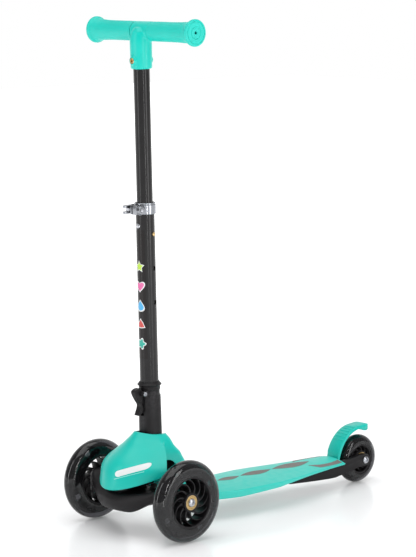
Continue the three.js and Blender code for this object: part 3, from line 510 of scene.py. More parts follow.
# ---- Wheel bearings ---------------------------------------------------------------------------
# Standard shielded ball bearings, 22 mm across, pressed into both ends of each hub. The plated
# outer ring, a sunk shield with a groove at its edge and the inner ring each show.
def bearing(name, centre, middle, outward, body):
    low, high = middle - 3.5 * outward, middle + 3.5 * outward
    dip = high - 0.5 * outward
    profile = [(4.3, low), (11, low), (11, high - 0.3 * outward), (10.7, high), (9.2, high), (9.0, dip),
               (8.6, dip - 0.3 * outward), (8.3, dip), (6.6, dip), (6.2, high), (4.6, high),
               (4.3, high - 0.3 * outward)]
    piece = turned(f"{name}_ring", profile, Matrix.Translation(centre) @ ALONG_X, brass, 64)
    settle(piece, body, "brass_metal", name)


for side, centre in front_axles.items():
    out = 1 if side == "left" else -1
    bearing(f"front_bearing_outer_{side}", centre, 8 * out, out, f"wheel_{side}")
    bearing(f"front_bearing_inner_{side}", centre, -8 * out, -out, f"wheel_{side}")
bearing("rear_bearing_left", rear_axle, 9, 1, "wheel_rear")
bearing("rear_bearing_right", rear_axle, -9, -1, "wheel_rear")


# ---- Axle bolts -------------------------------------------------------------------------------
# Zinc-plated button-head bolts, 8 mm, with a hexagon socket. The front ones screw into the truck,
# and the rear one passes through the frame's arms to a nut.
def socket_bolt(name, head_at, outward, head_radius, head_height, shank_end, body, node):
    place = Matrix.Translation(head_at) @ (
        ALONG_X if outward > 0 else ALONG_X @ Matrix.Rotation(math.pi, 4, "X"))
    dome = [(head_radius * math.cos(math.radians(a)), head_height * math.sin(math.radians(a)))
            for a in range(0, 91, 10)]
    profile = [(0, -shank_end), (3.4, -shank_end), (4, -shank_end + 0.6), (4, 0), (head_radius - 0.2, 0),
               *dome]
    piece = turned(f"{name}_turned", profile, place, zinc, 48)
    socket = slab("socket", arc((0, 0), head_radius * 0.48, 0, 300, 5), head_height * 0.35, head_height + 2,
                  place, zinc)
    settle(carved(piece, socket), body, "steel", node)


for side, centre in front_axles.items():
    out = 1 if side == "left" else -1
    socket_bolt(f"front_axle_bolt_{side}", centre + Vector((0.0118 * out, 0, 0)), out, 6.2, 2.9, 55.5,
                "truck", f"front_axle_bolt_{side}")
socket_bolt("rear_axle_bolt", rear_axle + Vector((0.0213, 0, 0)), 1, 5.8, 3, 46.5, "frame",
            "rear_axle_bolt")


# ---- Steering truck ---------------------------------------------------------------------------
# One bowed beam of black nylon that carries both front wheels. It tilts on a sloping kingpin, so
# it is hollowed for the frame's pivot boss and bored for the pin and the axle bolts.
def smooth_rows(rows, steps):
    """Rows of numbers with a smooth curve through them: steps new rows for each gap."""
    result = []
    for i in range(len(rows) - 1):
        before, start, end, after = (
            rows[max(i - 1, 0)], rows[i], rows[i + 1], rows[min(i + 2, len(rows) - 1)])
        for step in range(steps):
            t = step / steps
            result.append([0.5 * (2 * b + (c - a) * t + (2 * a - 5 * b + 4 * c - d) * t * t
                                  + (3 * b - a - 3 * c + d) * t ** 3)
                           for a, b, c, d in zip(before, start, end, after)])
    return [*result, list(rows[-1])]


def lofted(name, loops, place, material, sharp_degrees=32):
    """A closed skin through loops of (x, y, z) points in millimetres, capped at both ends."""
    count = len(loops[0])
    points = [place @ (Vector(p) / 1000) for loop in loops for p in loop]
    faces = [list(range(count)), list(range(len(points) - count, len(points)))]
    for i in range(len(loops) - 1):
        for j in range(count):
            a, b = i * count + j, i * count + (j + 1) % count
            faces.append([a, b, b + count, a + count])
    return mesh_piece(name, points, faces, material, sharp_degrees)


FRONT_AXLE_FRAME = Matrix.Translation((0, -LENGTH_MIDDLE, 0))
truck_rows = [  # x, front y, bottom z, top z, rear y
    [0, -57.5, 38, 63, 26], [15, -56.5, 38, 63.4, 26], [30, -53.2, 38.6, 64.4, 25],
    [43, -48.6, 43.5, 66, 24], [54, -43.6, 51, 68.4, 23], [65, -38, 57, 72, 23],
    [72, -34, 57.5, 75.5, 26], [78, -30, 50, 79, 27.5], [84, -26, 42, 80, 27.5]]


def truck_loop(row):
    x, front, bottom, top, rear = row
    middle = front + (rear - front) * 0.5
    under = min(bottom + 0.14 * abs(x), 52)
    return [(x, front + 8, bottom), (x, front + 4, bottom + 1), (x, front + 1.5, bottom + 4.5),
            (x, front, bottom + 10), (x, front, top - 9), (x, front + 0.4, top - 7),
            (x, front + 3, top - 2.2), (x, front + 4.6, top - 0.4), (x, front + 9, top + 1),
            (x, middle, top + 1.5), (x, rear - 7, top), (x, rear - 1.6, top - 1.6), (x, rear, top - 6),
            (x, rear, under + 6), (x, rear - 1.6, under + 1.6), (x, rear - 6, under), (x, middle, under)]


half_truck = smooth_rows(truck_rows, 4)
mirrored_truck = [[-row[0], *row[1:]] for row in reversed(half_truck[1:])]
truck_body = lofted("truck_beam", [truck_loop(row) for row in [*mirrored_truck, *half_truck]],
                    FRONT_AXLE_FRAME, black_nylon, 40)
bevelled(truck_body, 1.2, 3, 50)
KINGPIN_PLACE = (FRONT_AXLE_FRAME @ Matrix.Translation((0, 0, 0.058))
                 @ Matrix.Rotation(math.radians(45), 4, "X"))


def rod(name, radius, low, high, place, material=black_nylon, segments=48):
    return slab(name, arc((0, 0), radius, 0, 360 * (1 - 1 / segments), segments - 1), low, high, place,
                material)


carved(truck_body, rod("boss_room", 11.9, -10, 45, KINGPIN_PLACE),
       rod("pin_room", 4.4, -60, 0, KINGPIN_PLACE),
       rod("head_room", 9, -50, -21.7, KINGPIN_PLACE))
axle_bosses = []
for side, centre in front_axles.items():
    inner, outer = (-17, -11.9) if side == "left" else (11.9, 17)
    axle_bosses.append(turned("boss", [(4.3, inner), (6.2, inner), (6.5, inner + 0.5), (6.5, outer - 0.5),
                                       (6.2, outer), (4.3, outer)],
                              Matrix.Translation(centre) @ ALONG_X, black_nylon, 48))
settle(combined("truck_moulding", truck_body, *axle_bosses), "truck", "black_plastic", "front_truck")


# ---- Frame ------------------------------------------------------------------------------------
# The black nylon frame under the deck: a box rail with two arms that hold the rear wheel, and a
# sloping boss for the kingpin in front. Its edges are broken by a small radius from the mould.
def refined(node, name, width, body, slot, material, limit=35):
    """The node's own shape with its flats made whole and its edges rounded."""
    mesh = frame["nodes"][node].data.copy()
    mesh.name = name
    shape = bmesh.new()
    shape.from_mesh(mesh)
    bmesh.ops.remove_doubles(shape, verts=shape.verts, dist=2e-6)
    bmesh.ops.dissolve_limit(shape, angle_limit=math.radians(1.5), verts=shape.verts, edges=shape.edges)
    bmesh.ops.recalc_face_normals(shape, faces=shape.faces)
    shape.to_mesh(mesh)
    shape.free()
    mesh.materials.clear()
    mesh.materials.append(material)
    piece = bpy.data.objects.new(name, mesh)
    scene.collection.objects.link(piece)
    bevelled(piece, width, 2, limit)
    piece.data.shade_smooth()
    piece.data.set_sharp_from_angle(angle=math.radians(32))
    settle(piece, body, slot, node)
    return piece


refined("chassis", "frame_rail_and_arms", 1.1, "frame", "black_plastic", black_nylon)
refined("fold_bracket", "fold_tongue", 0.6, "frame", "black_plastic", black_nylon)


# ---- Deck -------------------------------------------------------------------------------------
# A long leaf of turquoise plastic with a crowned top, a raised middle and a skirt that stiffens
# its edges. Its colour is painted light: a paler copy of the cover's turquoise for its upturned,
# lit face. It is also a little duller than the cover.
deck_painted_light_turquoise = finish("deck_painted_light_turquoise", (0.03, 0.60, 0.51), (0.02, 0.56, 0.47), (0.2, 0.72, 0.64), 0.4,
                      grain_scale=1500, grain_depth=0.00002)
DECK_CROWN_Z = 49
DECK_CROWN = 5.7
deck_rows = [  # y, half width, skirt bottom z, plate thickness
    [72, 33, 32, 3.4], [100, 36.5, 32, 3.4], [121, 40.5, 32, 3.4], [142, 47, 32, 3.4],
    [165, 51.3, 32.4, 3.4], [229, 54, 34.8, 3.4], [250, 52.8, 36.4, 3.4],
    [283, 48, 38.2, 3.2], [312, 43, 39.2, 3], [341, 39, 40, 2.8], [366, 36.6, 41, 2.6],
    [384, 34.4, 41.3, 2.4], [399, 32.2, 41.3, 2.4]]
dense_deck = smooth_rows(deck_rows, 6)


def deck_half(y):
    for low, high in zip(dense_deck, dense_deck[1:]):
        if low[0] <= y <= high[0]:
            return low[1] + (high[1] - low[1]) * (y - low[0]) / (high[0] - low[0])
    return dense_deck[0][1] if y < dense_deck[0][0] else dense_deck[-1][1]


def deck_top(x, half):
    """The crowned top with a shallow step down outside its raised middle."""
    share = min(abs(x) / half, 1)
    step = min(max((share - 0.52) / 0.05, 0), 1)
    return DECK_CROWN_Z - DECK_CROWN * share ** 2 - 0.45 * step * (1 - share)


def deck_loop(row):
    y, half, skirt, thickness = row
    edge = half - 1.6
    rim = deck_top(edge, half)
    right = [(edge * i / 22, y, deck_top(edge * i / 22, half)) for i in range(1, 22)]
    right += [(x, y, z) for x, z in reversed(arc((edge, rim - 1.6), 1.6, 0, 90, 5))]
    right += [(half - 0.5, y, skirt + 1), (half - 1.2, y, skirt), (half - 2.9, y, skirt),
              (half - 3.6, y, skirt + 0.8), (half - 3.8, y, rim - thickness - 1),
              (half - 5.2, y, rim - thickness), (half * 0.5, y, deck_top(half * 0.5, half) - thickness)]
    left = [(-x, y, z) for x, y, z in reversed(right)]
    return [(0, y, DECK_CROWN_Z), *right, (0, y, DECK_CROWN_Z - thickness), *left]


deck_shell = lofted("deck_shell", [deck_loop(row) for row in dense_deck], FRONT_AXLE_FRAME,
                    deck_painted_light_turquoise, 40)
settle(deck_shell, "frame", "green_plastic", "deck")


# ---- Deck inlays ------------------------------------------------------------------------------
# Thin grey-brown anti-slip sheets glued on the deck: a chain of pointed lenses down the middle
# and a leaf on each side at the rear. Each lies on the crown and stands a hair above it.
def two_sided(faces, rim, count):
    """A sheet's faces, the same under them on points count further on, and a wall round the rim."""
    below = [[i + count for i in face] for face in faces]
    return [*faces, *below, *[[a, b, b + count, a + count] for a, b in rim]]


def laid_sheet(name, rows, node):
    """A thin sheet on the deck's crown, from rows of (y, lowest x, highest x) in millimetres."""
    columns = 12
    flat = [(low + (high - low) * i / columns, y) for y, low, high in rows for i in range(columns + 1)]
    points = [FRONT_AXLE_FRAME @ Vector((x / 1000, y / 1000, (deck_top(x, deck_half(y)) + lift) / 1000))
              for lift in (0.3, -0.4) for x, y in flat]
    count, row = len(flat), columns + 1
    rim = [*range(row), *[i * row + columns for i in range(1, len(rows))],
           *range(count - 2, count - row - 1, -1), *[i * row for i in range(len(rows) - 2, 0, -1)]]
    faces = [[a, a + 1, a + 1 + row, a + row] for j in range(len(rows) - 1)
             for a in range(j * row, j * row + columns)]
    faces = two_sided(faces, list(zip(rim, [*rim[1:], rim[0]])), count)
    settle(mesh_piece(name, points, faces, grip_sheet, 40), "frame", "inlay_grip", node)


for number, (start, end, half) in enumerate([(112, 150, 6), (153.5, 199, 8), (201.5, 266, 10.2),
                                             (268.5, 350, 12)]):
    lens = [(start + (end - start) * share, half * math.sin(math.pi * share) + 0.08)
            for share in [i / 28 for i in range(29)]]
    laid_sheet(f"middle_grip_{number + 1}", [(y, -reach, reach) for y, reach in lens],
               f"deck_inlay_{number + 1}")
leaf = smooth_rows([[331.2, 16.6, 16.9], [334, 17.3, 20.2], [337.5, 18.4, 24], [343.5, 20.1, 30.3],
                    [351, 22.2, 31.3], [357, 22.6, 31.6], [371, 22.8, 31.2], [387, 20.4, 29.5],
                    [396, 17.4, 28.4]], 4)
laid_sheet("rear_grip_left", leaf, "tail_inlay_left")
laid_sheet("rear_grip_right", [(y, -high, -low) for y, low, high in leaf], "tail_inlay_right")


# ---- Front cover ------------------------------------------------------------------------------
# A turquoise shell with a broad prow over the truck, wheel arches in its sides and an opening
# round the stem that runs on as a slot behind, so that the stem can fold back.
cover_rows = [  # z, front y on the middle line, ridge x, ridge y, side wall x, rear y
    [50, -64, 66.5, -8, 35.5, 94], [72, -64, 66.5, -8, 36, 82], [84, -62.8, 66.5, -8, 36, 74],
    [98, -59, 66.5, -8, 36, 63], [107, -54, 62, -3.5, 35.6, 57], [115, -46, 54, 3, 35, 52.5],
    [122, -36, 47, 8, 33.6, 47], [128, -28, 40.5, 12, 32, 43], [134, -21.5, 34.5, 15, 30, 41],
    [140, -15, 28, 16, 27.4, 39], [147.5, -8.4, 20.4, 14, 21.6, 36]]


def cover_loop(row, inset, lift=0):
    z, front, ridge_x, ridge_y, side_x, rear = row
    nose, wing_x, wing_y = front + inset, ridge_x - inset * 1.4, ridge_y - inset * 0.4
    prow = [(i / 12 * wing_x, nose + (wing_y - nose) * (i / 12) ** 2) for i in range(-12, 13)]
    wall, back = side_x - inset, rear - inset
    step_back = min(wing_y + 5, back - 14)
    turn = [(wall, back - 13), (wall, back), (wall - 13, back)]
    corner = [((1 - t) ** 2 * turn[0][0] + 2 * t * (1 - t) * turn[1][0] + t * t * turn[2][0],
               (1 - t) ** 2 * turn[0][1] + 2 * t * (1 - t) * turn[1][1] + t * t * turn[2][1])
              for t in [i / 8 for i in range(9)]]
    left = [(wall + 0.2, step_back), *corner, (wall * 0.3, back)]
    flat = [*prow, *left, *[(-x, y) for x, y in reversed(left)]]
    dip = min(max((z - 115) / 32.5, 0), 1)
    return [(x, y, z + lift - 5 * dip * min(max((y + 8) / 22, 0), 1)) for x, y in flat]


dense_cover = smooth_rows(cover_rows, 4)
cover_shell = lofted("cover_shell", [cover_loop(row, 0) for row in dense_cover], FRONT_AXLE_FRAME,
                     turquoise, 28)
COVER_WALL = 2.4
hollow_rows = [cover_loop(row, COVER_WALL, -2 if i == 0 else 0) for i, row in enumerate(dense_cover[:-1])]
hollow_rows.append(cover_loop(dense_cover[-1], COVER_WALL, -COVER_WALL))
cover_hollow = lofted("cover_hollow", hollow_rows, FRONT_AXLE_FRAME, turquoise)
XZ_PLATE = FRONT_AXLE_FRAME @ Matrix(((1, 0, 0, 0), (0, 0, -1, 0), (0, 1, 0, 0), (0, 0, 0, 1)))
SIDE_PLATE = FRONT_AXLE_FRAME @ YZ_PLATE
lower_edge = [(x, 70 + 0.0053 * x * x) for x in range(-72, 73, 6)]
prow_cut = slab("prow_cut", [(-72, 30), *lower_edge, (72, 30)], -10, 80, XZ_PLATE, turquoise)
arch = [(0, 40), (-1, 92), *arc((21, 87), 20, 170, 0, 24), (44, 76), (47, 40)]
arch_cut = slab("arch_cut", arch, -80, 80, SIDE_PLATE, turquoise)
keyhole = [(16.5, 120), (-16.5, 120), *arc((0, 13), 17.5, 160.5, 379.5, 48)]
keyhole_cut = slab("keyhole_cut", keyhole, 78, 160, FRONT_AXLE_FRAME, turquoise)
carved(cover_shell, prow_cut, arch_cut, keyhole_cut, cover_hollow)
bevelled(cover_shell, 0.5, 2, 55)
settle(cover_shell, "frame", "green_plastic", "front_cover")


# ---- Stem slot painted shade ------------------------------------------------------------------
# Two flat black nylon plates inside the cover, one on each side of the slot: painted shade, dark
# sheets that darken the cover's hollow. They follow the cover's inner slope, stand on the frame,
# and leave room between them for the folding stem.
painted_shade_outline = [(32, 66), (66, 66), (66, 82), (60, 97), (54.3, 106), (49.8, 114), (44.4, 120.5),
                (40.2, 125), (34, 126.5), (32, 126.5)]
painted_shade_plates = [slab("painted_shade_plate", painted_shade_outline, low, high, SIDE_PLATE, black_nylon)
              for low, high in ((16.7, 18.5), (-18.5, -16.7))]
settle(combined("stem_slot_painted_shade", *painted_shade_plates), "frame", "black_plastic")


# ---- Cover badge and painted crease highlight -------------------------------------------------
# A blank white pill, printed on the left of the prow, and under it a thin pale line of painted highlight
# where light runs along a crease.
white_print = finish("white_print", (0.8, 0.82, 0.82), (0.74, 0.77, 0.77), (0.9, 0.9, 0.9), 0.35, wear=0.1)
# Painted highlight: the pale line under the badge stands for light along a crease in the prow.
crease_highlight_paint = finish("crease_highlight_paint", (0.28, 0.8, 0.72), (0.24, 0.76, 0.69), (0.5, 0.9, 0.85), 0.35, wear=0.1)


def gridded(outline, step_x, step_y):
    """A flat outline cut into small cells: its points, its faces and its rim's edges."""
    shape = bmesh.new()
    shape.faces.new([shape.verts.new((x, y, 0)) for x, y in outline])
    for axis, step in ((0, step_x), (1, step_y)):
        places = [point[axis] for point in outline]
        first, last = math.ceil(min(places) / step), math.floor(max(places) / step)
        for i in range(first, last + 1):
            middle = [0, 0, 0]
            middle[axis] = i * step + 0.003
            normal = [0, 0, 0]
            normal[axis] = 1
            everything = [*shape.verts, *shape.edges, *shape.faces]
            bmesh.ops.bisect_plane(shape, geom=everything, dist=1e-5, plane_co=middle, plane_no=normal)
    shape.verts.index_update()
    flat = [(vert.co.x, vert.co.y) for vert in shape.verts]
    faces = [[vert.index for vert in face.verts] for face in shape.faces]
    rim = [(edge.verts[0].index, edge.verts[1].index) for edge in shape.edges if edge.is_boundary]
    shape.free()
    return flat, faces, rim


def print_and_highlight_on_prow(name, start, end, half_height, material):
    """A round-ended stripe from start to end, each an (x, z) place on the prow's outer face."""
    run, steps = Vector(end) - Vector(start), 14
    across = Vector((-run.y, run.x)).normalized() * half_height
    along = run.normalized() * half_height
    rounds = [Vector(end) + across * math.sin(a) + along * math.cos(a)
              for a in [math.radians(-90 + 180 * i / steps) for i in range(steps + 1)]]
    rounds += [Vector(start) - across * math.sin(a) - along * math.cos(a)
               for a in [math.radians(-90 + 180 * i / steps) for i in range(steps + 1)]]
    inner = [Vector(start) + run * i / 12 for i in range(13)]

    def on_prow(place, lift):
        row = next(r for r, after in zip(dense_cover, dense_cover[1:]) if r[0] <= place[1] <= after[0])
        after = dense_cover[dense_cover.index(row) + 1]
        t = (place[1] - row[0]) / (after[0] - row[0])
        _, front, wing_x, wing_y, _, _ = [a + (b - a) * t for a, b in zip(row, after)]
        y = front + (wing_y - front) * (place[0] / wing_x) ** 2
        return FRONT_AXLE_FRAME @ Vector((place[0] / 1000, (y - lift) / 1000,
                                          (place[1] + lift * 0.4) / 1000))

    flat, faces, rim = gridded([(p.x, p.y) for p in rounds], 2, 2)
    count = len(flat)
    points = [on_prow(p, 0.35) for p in flat] + [on_prow(p, -0.3) for p in flat]
    faces = two_sided(faces, rim, count)
    settle(mesh_piece(name, points, faces, material, 50), "frame", "green_plastic")


print_and_highlight_on_prow("cover_badge", (16, 95), (44.5, 106.5), 4.3, white_print)
# The thin pale line is painted highlight, where light runs along a crease under the badge.
print_and_highlight_on_prow("cover_crease_highlight", (12, 87), (46, 99.5), 0.45, crease_highlight_paint)


# ---- Fender brake -----------------------------------------------------------------------------
# A turquoise fender over the rear wheel, hinged at its foot and pressed down by the heel. Ridges
# across its front slope keep the shoe from slipping, and its tail ends in a thick lip.
rear_axle_mm = (457, 38.5)
FENDER_OUTSIDE, FENDER_INSIDE = 55, 50.4
fender_outline = [*arc(rear_axle_mm, FENDER_OUTSIDE, 174, 92, 36)]
tail_curve = smooth_rows([[0, 55.1], [6, 55.6], [12, 56], [17, 55], [19.1, 52.4], [19.1, 49], [17, 46.6],
                          [12, 45.6], [5, 46], [-3, 48.6], [-8.8, 49.7]], 4)
fender_outline += [(rear_axle_mm[0] + y, rear_axle_mm[1] + z) for y, z in tail_curve[1:-1]]
fender_outline += [*arc(rear_axle_mm, FENDER_INSIDE, 100, 172, 30), *arc((405.5, 36), 4.8, 30, -190, 24)]
fender = slab("fender_blade", fender_outline, -13.5, 13.5, SIDE_PLATE, turquoise, 40)
bevelled(fender, 1.3, 3, 60)
for vert in fender.data.vertices:
    back = (vert.co.y + LENGTH_MIDDLE) * 1000
    narrow = 12.7 / 13.5 if vert.co.z < 0.053 else 1
    if back > 463:
        narrow = math.sqrt(1 - 0.78 * min((back - 463) / 13.2, 1) ** 2)
    vert.co.x *= narrow
spring_gap = slab("spring_gap", [(396, 29), (411, 29), (411, 41.6), (396, 41.6)], -5.4, 5.4, SIDE_PLATE,
                  turquoise)
pin_gap = rod("pin_gap", 2.8, -20, 20, SIDE_PLATE @ Matrix.Translation((0.4055, 0.036, 0)), turquoise)
carved(fender, spring_gap, pin_gap)
ridge_at = Matrix.Rotation(math.radians(106), 4, "X") @ Matrix.Translation((0, 0.0548, 0)) @ ALONG_X
ridge = turned("ridge", [(0, -10.8), (0.7, -10.6), (1.1, -10), (1.1, 10), (0.7, 10.6), (0, 10.8)], ridge_at,
               turquoise, 16, 60)
repeated_round(ridge, 6, 6.5, turquoise, rear_axle)
settle(combined("fender_moulding", fender, ridge), "brake", "green_plastic", "brake_fender")


# ---- Stem socket and its collar ---------------------------------------------------------------
# The black nylon housing that the stem folds with. It straddles the frame's round tongue, has
# ears for the latch, and holds the lower tube under a ribbed collar ring.
STEM = (Matrix.Translation((0, 0.021 - LENGTH_MIDDLE, 0.1)) @ Matrix.Rotation(math.radians(1.6), 4, "X"))
STEM_SIDE_PLATE = STEM @ YZ_PLATE


def united(piece, *others):
    """One skin round all the parts."""
    for other in others:
        union = piece.modifiers.new("union", "BOOLEAN")
        union.operation = "UNION"
        union.object = other
        union.solver = "EXACT"
    plain(piece)
    for other in others:
        bpy.data.objects.remove(other)
    return piece


def rounded_square(half, radius, z):
    loop = []
    for u, v, start in ((1, 1, 0), (-1, 1, 90), (-1, -1, 180), (1, -1, 270)):
        loop += [(x, y, z) for x, y in arc((u * (half - radius), v * (half - radius)), radius, start,
                                           start + 90, 14)]
    return loop


housing = lofted("housing",
                 [rounded_square(half, half - 3.2, z)
                  for z, half in ((-2, 15.6), (20, 15.55), (60, 15.3), (97, 14.95), (100, 14.7))],
                 STEM, black_nylon)
foot = rod("foot", 15.6, -15.6, 15.6, STEM_SIDE_PLATE, black_nylon, 72)
neck = turned("neck", [(0, 99), (14.6, 99), (14.9, 100), (14.9, 106.6), (14.5, 107.6), (0, 107.6)], STEM,
              black_nylon)
LATCH_PIN = (-18.7, 104.5)
ear_outline = [(-12, 98), *arc(LATCH_PIN, 3.8, 250, 90, 16), (-12, 108)]
ears = [slab("ear", ear_outline, low, high, STEM_SIDE_PLATE, black_nylon)
        for low, high in ((5.2, 11), (-11, -5.2))]
united(housing, foot, neck, *ears)
carved(housing, rod("tongue_room", 29.2, -4.9, 4.9, STEM_SIDE_PLATE, black_nylon, 72),
       slab("foot_room", [(-20, -20), (20, -20), (20, 20), (-20, 20)], -4.9, 4.9, STEM_SIDE_PLATE,
            black_nylon),
       slab("latch_window", [(-20, 70), (0, 70), (0, 82), (-20, 82)], -3.4, 3.4, STEM_SIDE_PLATE,
            black_nylon),
       rod("plunger_room", 5.2, 20, 90, STEM, black_nylon), rod("pin_room", 4.3, -20, 20, STEM_SIDE_PLATE),
       rod("tube_room", 13.8, 84, 120, STEM, black_nylon, 96))
bevelled(housing, 0.5, 2, 40)
settle(housing, "stem", "black_plastic", "stem_socket")

collar_profile = [(14.05, 108), (15.6, 108), (15.9, 108.4), (15.7, 110), (15.9, 110.6), (16, 113.6),
                  (17.3, 114.8), (17.8, 115.3), (17.8, 116.1), (17.2, 116.7), (16.6, 117), (15, 119.6),
                  (14.4, 120.4), (14.05, 120.4)]
settle(turned("collar_ring", collar_profile, STEM, black_nylon, 96), "stem", "black_plastic",
       "socket_collar")


# ---- Latch lever ------------------------------------------------------------------------------
# A black thumb lever on a chromed pin. Its tail reaches down the housing's front, and a nose
# through the window lifts the plunger that locks the fold. Small ridges cross its thumb slope.
lever_curve = smooth_rows([[-19.2, 110.6], [-21.4, 112.4], [-27, 112], [-31.4, 109.6], [-32.2, 106.4],
                           [-30.5, 102], [-26.5, 95], [-22.8, 89.6], [-21.8, 86.6], [-22.8, 82],
                           [-25.4, 76], [-27, 73]], 4)
lever_back = smooth_rows([[-26, 72], [-22, 73.4], [-18.4, 76], [-16.2, 79.6], [-16, 82.4], [-17.6, 86],
                          [-19.2, 89.6], [-18, 95]], 3)
lever = slab("lever", [*arc(LATCH_PIN, 3.1, -75, 60, 10), *lever_curve, *lever_back], -4.6, 4.6,
             STEM_SIDE_PLATE, black_nylon, 40)
bevelled(lever, 0.9, 3, 55)
nose = slab("nose", [(-18, 75), (-8.6, 75), (-8.6, 79), (-18, 79)], -2.6, 2.6, STEM_SIDE_PLATE, black_nylon)


def repeat_line_tree():
    """Geometry nodes: the incoming part, repeated Count times with a fixed Offset."""
    tree = bpy.data.node_groups.new("repeat_line", "GeometryNodeTree")
    tree.interface.new_socket(name="Part", in_out="INPUT", socket_type="NodeSocketGeometry")
    tree.interface.new_socket(name="Count", in_out="INPUT", socket_type="NodeSocketInt")
    tree.interface.new_socket(name="Offset", in_out="INPUT", socket_type="NodeSocketVector")
    tree.interface.new_socket(name="Finish", in_out="INPUT", socket_type="NodeSocketMaterial")
    tree.interface.new_socket(name="Part", in_out="OUTPUT", socket_type="NodeSocketGeometry")
    source, result = tree.nodes.new("NodeGroupInput"), tree.nodes.new("NodeGroupOutput")
    line, copies = tree.nodes.new("GeometryNodeMeshLine"), tree.nodes.new("GeometryNodeInstanceOnPoints")
    real, painted = tree.nodes.new("GeometryNodeRealizeInstances"), tree.nodes.new("GeometryNodeSetMaterial")
    for start, end in [(source.outputs["Count"], line.inputs["Count"]),
                       (source.outputs["Offset"], line.inputs["Offset"]),
                       (line.outputs["Mesh"], copies.inputs["Points"]),
                       (source.outputs["Part"], copies.inputs["Instance"]),
                       (copies.outputs["Instances"], real.inputs["Geometry"]),
                       (real.outputs["Geometry"], painted.inputs["Geometry"]),
                       (source.outputs["Finish"], painted.inputs["Material"]),
                       (painted.outputs["Geometry"], result.inputs["Part"])]:
        tree.links.new(start, end)
    return tree


thumb_ridge = turned("thumb_ridge", [(0, -3.6), (0.5, -3.4), (0.5, 3.4), (0, 3.6)],
                     STEM_SIDE_PLATE @ Matrix.Translation((-0.0309, 0.1035, 0)), black_nylon, 12, 60)
ridge_line = thumb_ridge.modifiers.new("repeat", "NODES")
ridge_line.node_group = repeat_line_tree()
set_input(ridge_line, "Count", 5)
set_input(ridge_line, "Offset", STEM.to_3x3() @ Vector((0, 0.00098, -0.00172)))
set_input(ridge_line, "Finish", black_nylon)
plain(thumb_ridge)
settle(combined("thumb_lever", lever, nose, thumb_ridge), "latch", "black_plastic", "latch_lever")

pin_place = STEM_SIDE_PLATE @ Matrix.Translation((LATCH_PIN[0] / 1000, LATCH_PIN[1] / 1000, 0))
pin_head = [(1.6, 11.3), (3.2, 11.3), (3.4, 11.6), (3.4, 12.1), (2.9, 12.6), (1.2, 12.7), (1.0, 12.3),
            (0, 12.3)]
pin_profile = [*[(r, -z) for r, z in reversed(pin_head)], *pin_head]
settle(turned("latch_pivot", pin_profile, pin_place, chrome, 48), "stem", "chrome_metal", "latch_pin")


# ---- Tubes ------------------------------------------------------------------------------------
# Two black-painted tubes, one inside the other. Three side holes in the lower tube take the brass
# snap button of the upper one, and a plated rivet in front keeps them from turning.
LOWER_TUBE_RADIUS = 13.75
BUTTON_TURN = Matrix.Rotation(math.radians(16), 4, "Z")
height_holes = [337.5, 287.5, 237.5]


def tube(name, outer, bore, low, high, holes, body, node):
    wall = [(bore, low), (outer - 0.3, low), (outer, low + 0.3), (outer, low + 1.5), (outer, low + 3),
            (outer, high - 3), (outer, high - 1.5), (outer, high - 0.3), (outer - 0.3, high), (bore, high)]
    piece = turned(name, wall, STEM, tube_paint, 128)
    carved(piece, *[rod("button_hole", 3.4, 5, 20,
                        STEM @ BUTTON_TURN @ Matrix.Translation((0, 0, z / 1000)) @ ALONG_X)
                    for z in holes])
    settle(piece, body, "black_tube", node)


tube("lower_stem_tube", LOWER_TUBE_RADIUS, 12.4, 84.3, 383.1, height_holes, "stem", "lower_tube")
tube("upper_stem_tube", 11.8, 10.4, 190, 605, height_holes[:1], "handle", "upper_tube")
button_place = STEM @ BUTTON_TURN @ Matrix.Translation((0, 0, height_holes[0] / 1000)) @ ALONG_X
button_profile = [(0, 12.2), (3, 12.2), (3, 14.7), *arc((0, 13.2), 2.9, 32, 90, 8)]
settle(turned("brass_button", button_profile, button_place, brass, 40, 50), "button", "brass_metal",
       "snap_button")
rivet_place = STEM @ Matrix.Translation((0, 0, 0.35)) @ Matrix.Rotation(math.radians(90), 4, "X")
rivet_profile = [(0, 12.2), (2, 12.2), (2, 13.9), (3.7, 13.9), (3.6, 14.4), (3, 15.2), (1.6, 15.9),
                 (0, 16.1)]
settle(turned("rivet_head", rivet_profile, rivet_place, zinc, 40, 50), "stem", "steel", "guide_rivet")


# ---- Stem print -------------------------------------------------------------------------------
# A gloss black film down the front of the lower tube, printed with five plain coloured shapes,
# each on a white outline. Film and shapes follow the tube's round.
film_black = finish("film_black", (0.006, 0.004, 0.004), (0.008, 0.006, 0.006), (0.05, 0.05, 0.05), 0.14,
                    grain_depth=0.000001, wear=0.0, specular=0.25)
FILM_MIDDLE = math.radians(-89)


def wrapped(name, outline, middle_z, lift, material):
    """A thin sheet on the lower tube: an outline of (across, up) points in millimetres."""
    flat, faces, rim = gridded(outline, 1, 24)
    points = []
    for radius in (LOWER_TUBE_RADIUS + lift, 13.7):
        points += [STEM @ Vector((radius * math.cos(FILM_MIDDLE + x / LOWER_TUBE_RADIUS) / 1000,
                                  radius * math.sin(FILM_MIDDLE + x / LOWER_TUBE_RADIUS) / 1000,
                                  (middle_z + y) / 1000)) for x, y in flat]
    count = len(flat)
    faces = two_sided(faces, rim, count)
    settle(mesh_piece(name, points, faces, material, 50), "stem", "black_tube")


def polar(radius_at, steps=60):
    """An outline round (0, 0) whose radius at each angle is radius_at(angle)."""
    angles = [2 * math.pi * i / steps for i in range(steps)]
    return [(radius_at(a) * math.cos(a), radius_at(a) * math.sin(a)) for a in angles]


def polygon(corners, pointed):
    """A star or polygon: corners at radius 1, and midpoints between them at radius pointed."""
    steps = 2 * corners
    return [((1 if i % 2 == 0 else pointed) * math.cos(math.pi / 2 + 2 * math.pi * i / steps),
             (1 if i % 2 == 0 else pointed) * math.sin(math.pi / 2 + 2 * math.pi * i / steps))
             for i in range(steps)]


